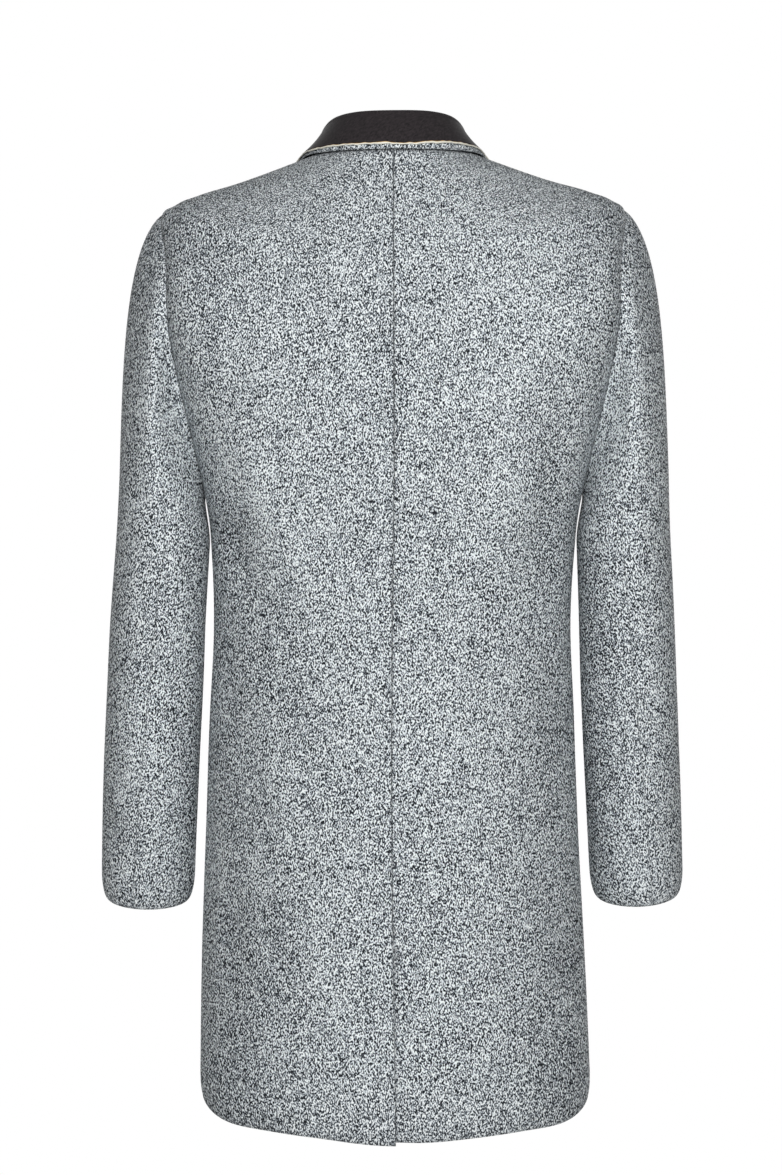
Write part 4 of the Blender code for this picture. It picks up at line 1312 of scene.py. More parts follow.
@dataclass
class Fronts:
    """The two fronts with their turned-back lapels, the left closing over the right."""

    form: CoatForm
    lapel_foot: dict[Side, float] = field(default_factory=lambda: {Side.LEFT: -0.266, Side.RIGHT: -0.196})
    lapel_edge_from: dict[Side, float] = field(default_factory=lambda: {Side.LEFT: 0.015, Side.RIGHT: 0.110})
    lapel_head: float = -0.073
    # fraction of the way up, x, z
    lapel_edge: Array = number_table(
        (0.0, 0.0, -0.262),
        (0.3, 0.056, -0.205),
        (0.6, 0.098, -0.15),
        (0.85, 0.118, -0.112),
        (1.0, 0.123, -0.094),
    )
    # Rough length and breadth of a lapel, which set the grid's steps
    lapel_length: float = 0.2
    lapel_breadth: float = 0.07
    lapel_rows: int = 46
    lapel_steps: int = 20
    roll_steps: int = 12
    # Reach and darkness of the painted shadow beside the lapels' edges and the left front's edge
    lapel_shade: float = 0.0020
    lapel_dark: float = 0.9

    def build(self, material: Material) -> None:
        """Args:
            material: the coat cloth.
        """
        form = self.form
        stations = form.rows()
        angles = form.angle_grid(form.front_side_edge(stations), form.front_edge(stations), stations)
        grid = np.broadcast_to(stations[:, None], angles.shape)
        flat = form.unrolled(angles, stations, HALF)
        for side, bolt in ((Side.LEFT, (2.6, 0.2)), (Side.RIGHT, (3.9, 0.7))):
            lift = form.front_lift(side, angles, grid) - form.hem_tuck(grid)
            face, normals = form.on_body(side, angles, grid, lift)
            edges = {
                Border.FIRST_ROW: Edge.HEMMED.line(),
                Border.LAST_ROW: Edge.SEWN.line(),
                Border.FIRST_COLUMN: form.outer_finish(stations),
                Border.LAST_COLUMN: Edge.LAPPED.line(),
            }
            # Painted shadow beside the overlapping edges, and painted light and shade of the panel
            marks, painted_shading = self.painted_overlap_shadow(side, face), form.painted_shading(side, angles, grid)
            name = f"front_{side.word}"
            wall = ClothWall(name, face, normals, form.cloth, edges, bolt, flat, None, marks, painted_shading)
            wall.dress(wall.build(form, material, "coat_cloth"), Held.HUNG, [f"back_{side.word}"])
        for side, bolt in ((Side.LEFT, (5.1, 0.3)), (Side.RIGHT, (5.5, 0.8))):
            wall = self.lapel(side, bolt)
            wall.dress(wall.build(form, material, "coat_cloth"), Held.FOLDED, [f"front_{side.word}"])

    def edge_line(self, side: Side, up: Array) -> Array:
        """Points of a lapel's outer edge in the front view, by their share of the way up."""
        share = self.lapel_edge_from[side] + (1 - self.lapel_edge_from[side]) * up
        shares, *places = self.lapel_edge.T
        return np.stack([np.interp(share, shares, place) for place in places], axis=-1)

    def painted_overlap_shadow(self, side: Side, face: Array) -> Array:
        """Painted shadow on a front beside the lapel and, on the right, beside the left front: bells of
        distance.

        Args:
            side: half of the coat.
            face: the front's points.

        Returns:
            Painted shadow at each point.
        """
        view = (face * side.mirror)[..., (0, 2)]
        edge = self.edge_line(side, np.linspace(0, 1, 400))
        apart = np.linalg.norm(view[:, :, None] - edge, axis=-1).min(axis=-1)
        shade = self.lapel_dark * bell(apart / self.lapel_shade)
        if side is Side.RIGHT:
            beside = np.abs(view[..., 0] - self.form.front_lap) / self.lapel_shade
            under = view[..., 1] < self.form.roll_foot[1]
            shade = np.maximum(shade, self.lapel_dark * bell(beside) * under)
        return shade

    def lapel(self, side: Side, bolt: Pair) -> ClothWall:
        """A lapel: straight lines from the roll line to its outer edge, laid on the front, and rolled under.

        The roll is half a circle about the front's own edge, from the lapel's face to the front's inner face.

        Args:
            side: half of the coat.
            bolt: where on the cloth it was cut.

        Returns:
            The lapel's wall.
        """
        form = self.form
        up = fine_places(self.lapel_length, self.lapel_rows)[0]
        roll_z = self.lapel_foot[side] + (self.lapel_head - self.lapel_foot[side]) * up
        roll = np.stack([form.roll_x(roll_z), roll_z], axis=-1)
        edge = self.edge_line(side, up)
        outer = 1 - EDGE_LINES[::-1] / self.lapel_breadth
        lines = np.concatenate([np.linspace(0, 0.9, self.lapel_steps), outer])
        view = roll[:, None] + (edge - roll)[:, None] * np.unique(lines.round(6))[:, None]
        angle, station = form.front_place(view[..., 0], view[..., 1])
        lift = form.front_lift(side, angle, station) + form.lap_gap + form.cloth
        face, normals = form.on_body(side, angle, station, lift)

        radius = form.cloth + form.lap_gap / 2
        out = normals[:, 0]
        away = face[:, 0] - face[:, 1]
        away = unit(away - out * np.sum(away * out, axis=-1, keepdims=True))
        turn = np.linspace(HALF, 0, self.roll_steps + 1)[:-1, None]
        spoke = out[:, None] * np.cos(turn) + away[:, None] * np.sin(turn)
        rolled = face[:, :1] - out[:, None] * radius + spoke * radius
        edges = {
            Border.FIRST_ROW: Edge.BAGGED.line(),
            Border.LAST_ROW: Edge.BAGGED.line(),
            Border.LAST_COLUMN: Edge.LAPPED.line(),
        }
        face = np.concatenate([rolled, face], axis=1)
        normals = np.concatenate([spoke, normals], axis=1)
        return ClothWall(f"lapel_{side.word}", face, normals, form.cloth, edges, bolt)


@dataclass
class Sleeves:
    """Two-piece sleeves, set into the armholes: the top sleeve outside, the under sleeve inside."""

    form: CoatForm
    # height, mid_x, mid_y, half_x, half_y, back_drop, inner_drop
    rings: Array = number_table(
        (-0.365, 0.2183, 0.004, 0.0442, 0.072, 0.0, 0.0),
        (-0.43, 0.2216, 0.006, 0.0448, 0.067, 0.0, 0.0),
        (-0.5, 0.2246, 0.002, 0.0453, 0.062, 0.002, 0.0005),
        (-0.6, 0.2303, -0.014, 0.0452, 0.057, 0.004, 0.0012),
        (-0.702, 0.2355, -0.034, 0.0443, 0.052, 0.006, 0.002),
    )
    cap_top: Triple = (0.134, 0.000, -0.095)
    cap_back: Triple = (0.060, 0.020, -0.090)
    cap_front: Triple = (0.060, -0.034, -0.090)
    cap_under: Triple = (0.006, 0.000, -0.050)
    cap_fall: Triple = (0.330, 0.190, 0.055)
    # fraction of length, back and front seam in degrees from the outer line over the back
    seams: Array = number_table((0.0, 100, 240), (0.4, 92, 232), (1.0, 76, 222))
    gap: float = -0.0003
    seam_position: float = 0.3
    # Widths of the top and the under sleeve, and the cap's length over its chord, which set the grid's steps
    widths: Pair = (0.24, 0.13)
    cap_curve: float = 1.08
    # Shares of the way from the shoulder tip to the seams: where the set-in edge gains depth, and where ease
    deepened: Pair = (0.06, 0.26)
    eased: Pair = (0.35, 0.85)
    tip_depth: float = 0.3
    cap_rows: int = 60
    tube_rows: int = 76
    # Creases: turn_first, z_first, turn_last, z_last (turns in degrees), height, half_breadth
    creases: Array = number_table(
        (40, -0.3, 120, -0.36, -0.0022, 0.01),
        (60, -0.355, 135, -0.395, 0.002, 0.011),
        (70, -0.47, 140, -0.505, -0.0022, 0.009),
        (80, -0.515, 150, -0.535, -0.0019, 0.008),
        (50, -0.56, 110, -0.59, 0.0018, 0.012),
        (200, -0.47, 285, -0.5, -0.0024, 0.009),
        (205, -0.52, 280, -0.53, -0.002, 0.008),
        (215, -0.555, 270, -0.58, -0.0011, 0.009),
        (225, -0.33, 300, -0.39, -0.0013, 0.011),
        (20, -0.6, 70, -0.66, -0.0018, 0.012),
        (250, -0.61, 320, -0.65, 0.0011, 0.012),
    )
    crease_radius: float = 0.055
    crease_fade: float = 0.04
    # Painted shade on the sleeves where they are sheltered, painted light where the depth is below 0:
    # turn and half turn in degrees, z, half_height, left and right depth
    sleeve_painted_shades: Array = number_table(
        (18, 36, -0.11, 0.075, 0.0094, 0.007),
        (115, 35, -0.235, 0.08, -0.0018, -0.0056),
        (90, 50, -0.44, 0.075, 0.0014, 0.0022),
        (150, 42, -0.44, 0.11, 0.0, 0.0046),
        (165, 36, -0.55, 0.15, 0.0034, 0.0),
        (158, 40, -0.615, 0.12, 0.0026, 0.0066),
        (155, 36, -0.345, 0.04, 0.0034, 0.0006),
        (108, 30, -0.16, 0.045, -0.002, -0.0004),
        (80, 50, -0.665, 0.045, 0.0016, 0.0),
    )

    def armhole_point(self, position: Array) -> tuple[Array, Array]:
        """Angle and station on the armhole's edge: from the shoulder tip at 0 down the back and up the front.

        Args:
            position: share of the way round.

        Returns:
            Angles and stations.
        """
        form = self.form
        position = np.mod(position, 1)
        part = (1 - np.cos(HALF * np.abs(1 - 2 * position))) / 2
        station = form.armpit + (form.tip - form.armpit) * part
        back = QUARTER - form.armhole_angle(station, form.armhole_back)
        front = QUARTER + form.armhole_angle(station, form.armhole_front)
        return np.where(position < 0.5, back, front), station

    def turns(self, position: Array) -> Array:
        """Turn of each armhole point round the sleeve, by its share of the edge's length on its half."""
        half = np.linspace(0, 0.5, 401)
        # The second half starts a hair early, so that its end isn't read as the start of the first
        starts = (0.0, 0.4999999)
        lengths = [run_along(self.form.body(*self.armhole_point(start + half)), 0) for start in starts]
        back, front = (length / length[-1] * HALF for length in lengths)
        position = np.mod(position, 1)
        first = np.interp(position, half, back)
        return np.where(position < 0.5, first, HALF + np.interp(position - 0.5, half, front))

    def cap_direction(self, turn: Array) -> Array:
        """Direction and reach of the cap at the armhole, blended by the squared cosine of the turn."""
        top = np.maximum(np.cos(turn), 0)[..., None] ** 2
        under = np.maximum(-np.cos(turn), 0)[..., None] ** 2
        side = np.where(np.sin(turn)[..., None] > 0, self.cap_back, self.cap_front)
        return top * np.array(self.cap_top) + under * np.array(self.cap_under) + (1 - top - under) * side

    def root(self, position: Array) -> tuple[Array, Array]:
        """Edge of the sleeve, just clear of the body's armhole edge.

        Args:
            position: share of the way round the armhole.

        Returns:
            Points and their turns.
        """
        form = self.form
        angle, station = self.armhole_point(position)
        edge = form.body(angle, station)
        normal = form.outward(angle, station)
        step = 0.002
        ahead, behind = (form.body(*self.armhole_point(position + move)) for move in (step, -step))
        away = unit(np.cross(ahead - behind, normal))
        turns = self.turns(position)
        turned_in = -np.sum(unit(self.cap_direction(turns)) * normal, axis=-1, keepdims=True)
        return edge + away * (self.gap + form.cloth * np.maximum(turned_in, 0)) + normal * self.gap, turns

    def ring(self, turn: Array, station: Array) -> Array:
        """Sleeve below the cap: elliptic rings whose back and outer lines drop a little."""
        columns = np.moveaxis(spline(self.rings, station), -1, 0)
        height, mid_x, mid_y, half_x, half_y, back_drop, inner_drop = columns
        outer, back = np.cos(turn), np.sin(turn)
        height = height - back_drop * back + inner_drop * outer
        return np.stack([mid_x + half_x * outer, mid_y + half_y * back, height], axis=-1)

    def seam_turns(self, station: Array) -> tuple[Array, Array]:
        """Turns of the back and front seams at a station of the rings."""
        share = station / (len(self.rings) - 1)
        shares, *turns = self.seams.T
        back, front = (np.interp(share, shares, np.radians(turn)) for turn in turns)
        return back, front

    def face(self, over: bool) -> tuple[Array, Array, Array]:
        """Outer face of the left top sleeve or under sleeve, from the armhole to the cuff.

        The cap is a cubic from the armhole's edge to the first ring, and the tube follows the rings.

        Args:
            over: whether it is the top sleeve.

        Returns:
            Points, normals, and on the left and the right the heights of its painted light and shade.
        """
        width = self.widths[0 if over else 1]
        share = fine_places(width, round(width / GRID_STEP))[0]
        seam = self.seam_position
        first, last = (-seam, seam) if over else (seam, 1 - seam)
        root, root_turns = self.root(first + (last - first) * share)

        def turns_at(station: Array) -> Array:
            """Turns of a ring's points between the two seams."""
            back, front = self.seam_turns(station)
            start, end = (front - 2 * HALF, back) if over else (back, front)
            return start + (end - start) * share

        start = np.zeros(1)
        turns = turns_at(start)
        ring = self.ring(turns, start)
        below = self.ring(turns, start + SLOPE_STEP)
        outer, side, under = self.cap_fall
        cosine = np.cos(turns)[..., None]
        fall = side + np.where(cosine > 0, outer - side, under - side) * cosine**2
        lengths = np.linalg.norm(ring - root, axis=-1) * self.cap_curve
        place = fine_places(lengths, self.cap_rows, False).T[:-1, :, None]
        cap = hermite(root, self.cap_direction(root_turns), ring, unit(below - ring) * fall, place)
        length = -(self.rings[-1, 0] - self.rings[0, 0])
        stations = (1 - fine_places(length, self.tube_rows, False)[0][::-1]) * (len(self.rings) - 1)
        tube = self.ring(turns_at(stations[:, None]), stations[:, None])
        face = np.concatenate([cap, tube])
        trim = self.form.seam_gap / 2
        face[:, 0] += unit(face[:, 1] - face[:, 0]) * trim
        face[:, -1] += unit(face[:, -2] - face[:, -1]) * trim
        normals = -grid_normals(face)
        turn = np.concatenate([np.broadcast_to(turns, cap.shape[:2]), turns_at(stations[:, None])])
        run, z = run_along(face, 0), face[..., 2]
        height, tuck = self.crease_height(turn, face), self.form.tucked(run[-1] - run)
        # Painted light and shade: ridges lighter; creases, underarm, cuff and sheltered places darker
        painted_shading = np.stack([height - self.form.painted_shade(run, z) - tuck] * 2)
        for middle, half_turn, level, half_height, *depths in self.sleeve_painted_shades:
            aside = (np.mod(np.degrees(turn) - middle + 180, 360) - 180) / half_turn
            painted_shading -= np.multiply.outer(depths, bell(aside, (z - level) / half_height))
        return face + normals * (height - tuck)[..., None], normals, painted_shading

    def crease_height(self, turn: Array, face: Array) -> Array:
        """Height of the creases, as soft lines on the unrolled sleeve that fade towards the armhole."""
        lines = self.creases.copy()
        lines[:, (0, 2)] = np.radians(lines[:, (0, 2)]) * self.crease_radius
        around = np.mod(turn, 2 * HALF) * self.crease_radius
        faded = smooth_step(run_along(face, 0) / self.crease_fade)
        return line_folds(around, face[..., 2], lines, self.form.fold_fade) * faded

    def build(self, material: Material) -> None:
        """Args:
            material: the coat cloth.
        """
        for number, over in enumerate((True, False)):
            face, normals, painted_shading = self.face(over)
            from_top = np.abs(np.linspace(-1, 1, face.shape[1])) if over else np.ones(1)
            depth = self.tip_depth + (1 - self.tip_depth) * smooth_between(from_top, *self.deepened)
            fine = 1 - smooth_between(from_top, *self.eased)
            edges = {
                Border.FIRST_ROW: Edge.EASED.line(Edge.FINE, fine) * depth,
                Border.LAST_ROW: Edge.HEMMED.line(),
                Border.FIRST_COLUMN: Edge.FINE.line(),
                Border.LAST_COLUMN: Edge.FINE.line(),
            }
            flat = level_places(face * (1.0, self.form.slope_share, 1.0))
            word = "top_sleeve" if over else "under_sleeve"
            for side, light in zip(Side, painted_shading):
                bolt = (6.2 + number + 0.4 * side.value, 0.1 + 0.35 * side.value)
                name = f"{word}_{side.word}"
                faces = (face * side.mirror, normals * side.mirror)
                wall = ClothWall(name, *faces, self.form.cloth, edges, bolt, flat, painted_shading=light)
                wall.dress(wall.build(self.form, material, "coat_cloth"), Held.HUNG, [f"back_{side.word}"])


@dataclass
class Collar:
    """Turn-down collar: a stand, a fall of coat cloth, a dark leaf that rolls over both, and its piping."""

    form: CoatForm
    # seam_deg, seam_below, stand, lean, bulge, mid_deg, mid_below, edge_deg, edge_below
    rows: Array = number_table(
        (0, 0.0, 0.0285, 0.011, 0.002, 0, 0.03, 0, 0.1),
        (35, 0.0, 0.0282, 0.01, 0.001, 34, 0.04, 33, 0.13),
        (64, 0.0, 0.0248, 0.01, -0.001, 63, 0.07, 61, 0.17),
        (90, 0.0, 0.0138, 0.007, -0.0015, 90, 0.12, 90, 0.22),
        (112, 0.0, 0.005, 0.001, -0.001, 111, 0.22, 106, 0.46),
        (154, 0.45, 0.0, 0.0, 0.0, 135, 0.75, 123, 0.9),
    )
    cloth: float = 0.0025
    felt: float = 0.0015
    fall_gap: float = 0.0012
    rest_gap: float = 0.0011
    stand_last_row: float = 3.6
    stand_full: float = 0.006
    back_last_row: float = 3.2
    roll_turn: Pair = (math.radians(35), math.radians(180))
    piping: float = 0.0014
    # Share of its thickness by which the cord's middle lies below the dark leaf
    piping_below: float = 0.85
    columns: int = 110
    # Rough half length of the collar and heights of its leaves, which set the grid's steps
    half_length: float = 0.26
    stand_height: float = 0.03
    fall_height: float = 0.05
    leaf_height: float = 0.045
    cord_steps: int = 620
    cord_around: int = 14
    # Waves by which the cord wanders aside and swells: height, length over a full turn's angle, start
    cord_wander: tuple[Triple, ...] = ((0.00018, 0.0031, 1.0), (0.00016, 0.0017, 0.0))
    cord_swell: tuple[Triple, ...] = ((0.10, 0.0042, 0.0), (0.06, 0.0013, 2.0))
    cord_scale: float = 1.1
    cord_twist: float = 0.0011
    cord_end: float = 0.0008
    strand_ridge: float = 0.10
    # Sideways place on the collar, width of the border below the dark leaf, and share of the cord's size
    border: Array = number_table(
        (-0.1, 0.0034, 0.9),
        (-0.074, 0.0064, 1.0),
        (-0.056, 0.0078, 1.2),
        (-0.043, 0.0073, 1.5),
        (-0.03, 0.0069, 1.5),
        (-0.02, 0.0056, 1.2),
        (-0.009, 0.0052, 1.0),
        (0.002, 0.0055, 1.1),
        (0.01, 0.0064, 1.5),
        (0.02, 0.006, 1.1),
        (0.044, 0.0058, 1.0),
        (0.06, 0.005, 1.1),
        (0.084, 0.0026, 0.9),
    )
    stitch_lines: tuple[float, ...] = (0.0017, 0.0034)
    stitch_depth: float = 0.00028
    stitch_half_width: float = 0.00042
    # How far painted shade darkens the border below the dark leaf
    border_painted_shade: float = 0.0025

    def resting(self, angle: Array, station: Array) -> Array:
        """Outer face of collar cloth that lies on the body."""
        offset = self.cloth + self.rest_gap
        return self.form.body(angle, station) + self.form.outward(angle, station) * offset

    def frame(self, row: Array) -> tuple[Array, ...]:
        """Points and directions of the left half at whole or part rows of the table.

        Args:
            row: rows, from centre back to the notch.

        Returns:
            Foot and top of the stand, the direction out, how far the fall is raised, and the fall's top,
            middle and edge.
        """
        form = self.form
        columns = np.moveaxis(spline(self.rows, row), -1, 0)
        seam_deg, seam_below, stand, lean, bulge, mid_deg, mid_below, edge_deg, edge_below = columns
        stand, lean = np.maximum(stand, 0), np.maximum(lean, 0)
        seam_angle = np.radians(seam_deg)
        seam = form.body(seam_angle, form.neck - seam_below)
        out = unit(form.outward(seam_angle, form.neck - seam_below) * (1, 1, 0))
        foot = seam + UP * form.seam_gap - out * self.cloth
        top = foot + UP * stand[..., None] - out * lean[..., None]
        raised = smooth_step(stand / self.stand_full)[..., None]
        lying = self.resting(seam_angle, form.neck - seam_below)
        fold = 2 * self.cloth + self.fall_gap
        fall_top = raised * (top + out * fold) + (1 - raised) * lying
        edge = self.resting(np.radians(edge_deg), form.neck - edge_below)
        middle = self.resting(np.radians(mid_deg), form.neck - mid_below)
        between = (fall_top + edge) / 2 + out * bulge[..., None]
        middle = raised * between + (1 - raised) * middle
        return foot, top, out, raised, fall_top, middle, edge

    def fall_curve(self, row: Array, share: Array) -> Array:
        """Outer face of the fall: a quadratic through its top, middle and edge at shares 0, 0.5 and 1."""
        *_, first, middle, last = self.frame(row)
        t = share[..., None]
        return first * (1 - t) * (1 - 2 * t) + middle * 4 * t * (1 - t) + last * t * (2 * t - 1)

    def edge_line(self) -> Array:
        """Points of the fall's lower edge on the left half of the back."""
        return self.frame(np.linspace(0, self.back_last_row, 120))[-1]

    def halves(self, half_of: Callable[[Side], Array]) -> Array:
        """Whole grid from the right end to the left one, from a function that gives a side's half."""
        right = half_of(Side.RIGHT)[:, :0:-1] * Side.RIGHT.mirror
        return np.concatenate([right, half_of(Side.LEFT)], axis=1)

    def border_width(self, side: Side, x: Array) -> Array:
        """Width of the border at sideways places of one half."""
        return np.interp(side.value * x, self.border[:, 0], self.border[:, 1])

    def build(self, cloth: Material, felt: Material, cord: Material) -> None:
        """Args:
            cloth: the coat cloth.
            felt: the dark felt.
            cord: the cream cord.
        """
        form = self.form
        half = fine_places(self.half_length, self.columns // 2, False)[0][::-1]
        rows = (1 - half) * (len(self.rows) - 1)
        rows = np.unique(np.concatenate([[0.0], rows]).round(7))
        _, _, out, raised, fall_top, _, edge = self.frame(rows)

        stand_rows = rows / rows[-1] * self.stand_last_row
        foot, top, *_ = self.frame(stand_rows)
        up = fine_places(self.stand_height, 8)[0][::-1, None, None]
        stand = self.halves(lambda side: foot + (top - foot) * up)
        normals = grid_normals(stand)
        bare = {border: Edge.RAW.line() for border in Border}
        wall = ClothWall("collar_stand", stand + normals * self.cloth, normals, self.cloth, bare, (8.0, 0.0))
        wall.dress(wall.build(form, felt, "dark_felt"), Held.FOLDED, ["back_left", "back_right"])

        lines = np.linspace(0, 0.010, 25)
        down = 1 - fine_places(self.fall_height, 16, False, lines)[0][::-1, None]
        fall = self.halves(lambda side: self.fall_curve(rows, np.broadcast_to(down, (len(down), len(rows)))))
        normals = grid_normals(fall)
        edges = {border: Edge.BAGGED.line() for border in Border} | {Border.LAST_ROW: Edge.ROLLED.line()}
        from_edge = run_along(fall[::-1], 0)[::-1]
        apart = [(from_edge - line) / self.stitch_half_width for line in self.stitch_lines]
        relief = -self.stitch_depth * sum(bell(groove) for groove in apart)
        wall = ClothWall("collar_fall", fall, normals, self.cloth, edges, (8.5, 0.5), relief=relief)
        # Painted shade darkens the whole fall, of which only the border shows
        wall.painted_shading = np.full_like(relief, -self.border_painted_shade)
        below = ["collar_stand", "back_left", "back_right"]
        wall.dress(wall.build(form, cloth, "coat_cloth"), Held.FOLDED, below)

        length = run_along(self.fall_curve(rows, np.linspace(0, 1, 41)[:, None] * np.ones(len(rows))), 0)[-1]
        x = edge[..., 0]
        share = (1 - fine_places(self.leaf_height, 18, False)[0][::-1])[:, None]
        least, most = self.roll_turn
        turn = (least + (most - least) * raised[..., 0]) * np.linspace(1, 0, 13)[:-1, None]
        radius = self.cloth + self.fall_gap / 2
        spoke = np.cos(turn)[..., None] * out + np.sin(turn)[..., None] * UP
        roll = fall_top - out * radius + spoke * radius

        def top_leaf(side: Side) -> Array:
            """Roll over the stand, then down the fall to the border."""
            on_fall = self.fall_curve(rows, share * (1 - self.border_width(side, x) / length))
            return np.concatenate([roll, on_fall])

        leaf = self.halves(top_leaf)
        normals = grid_normals(leaf)
        leaf = leaf + normals * (form.lap_gap + self.felt)
        wall = ClothWall("collar_top", leaf, normals, self.felt, bare, (0.0, 0.0))
        wall.dress(wall.build(form, felt, "dark_felt"), Held.FOLDED, ["collar_fall", "collar_stand"])

        def strip(side: Side) -> Array:
            """Three lines along the piping, for the direction in which it stands out."""
            below = 1 - (self.border_width(side, x) - self.piping_below * self.piping) / length
            return self.fall_curve(rows, below + np.array((-0.05, 0.0, 0.05))[:, None])

        lines = self.halves(strip)
        normals = grid_normals(lines)
        path = lines[1] + normals[1] * (self.piping / 2 + form.lap_gap)
        self.make_piping(path, normals[1], cord)

    def make_piping(self, path: Array, out: Array, material: Material) -> None:
        """Two-strand twisted cord along a path, closed at its rounded ends.

        Its half size is r * (1 + ridge * cos(2 * turn - twist)), and it wanders along the cloth by sines.

        Args:
            path: points of its centre line.
            out: directions away from the collar.
            material: the cream cord.
        """
        run = run_along(path, 0)
        even = np.linspace(0, run[-1], self.cord_steps)
        path = np.stack([np.interp(even, run, path[:, axis]) for axis in range(3)], axis=-1)
        out = unit(np.stack([np.interp(even, run, out[:, axis]) for axis in range(3)], axis=-1))
        aside = unit(np.cross(unit(np.gradient(path, axis=0)), out))
        wander = wavering(even, self.cord_wander)
        size = self.piping / 2 * (1 + wavering(even, self.cord_swell))
        size *= np.interp(path[:, 0], self.border[:, 0], self.cord_scale * self.border[:, 2])
        ends = 1 - np.clip(1 - np.minimum(even, even[::-1]) / self.cord_end, 0, 1)
        size *= np.maximum(np.sqrt(1 - (1 - ends) ** 2), 0.1)
        turn = np.linspace(0, 2 * HALF, self.cord_around + 1)[:-1]
        twist = even[:, None] / self.cord_twist
        radius = size[:, None] * (1 + self.strand_ridge * np.cos(2 * turn - twist))
        points, faces = swept(path + aside * wander[:, None], out, radius, radius, self.cord_around)
        piece = new_piece("collar_piping_cord", (self.form.settled(points), faces), material)
        across = np.broadcast_to(turn * self.piping / 2, radius.shape)
        along = np.broadcast_to(even[:, None], radius.shape)
        add_attribute(piece, "cloth", np.stack([across, along, 0 * along], axis=-1).reshape(-1, 3))
        upper = smooth_step((np.sin(turn) - 0.05) / 0.4)
        add_attribute(piece, "pressed", np.broadcast_to(upper, radius.shape).ravel())
        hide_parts("collar_piping")


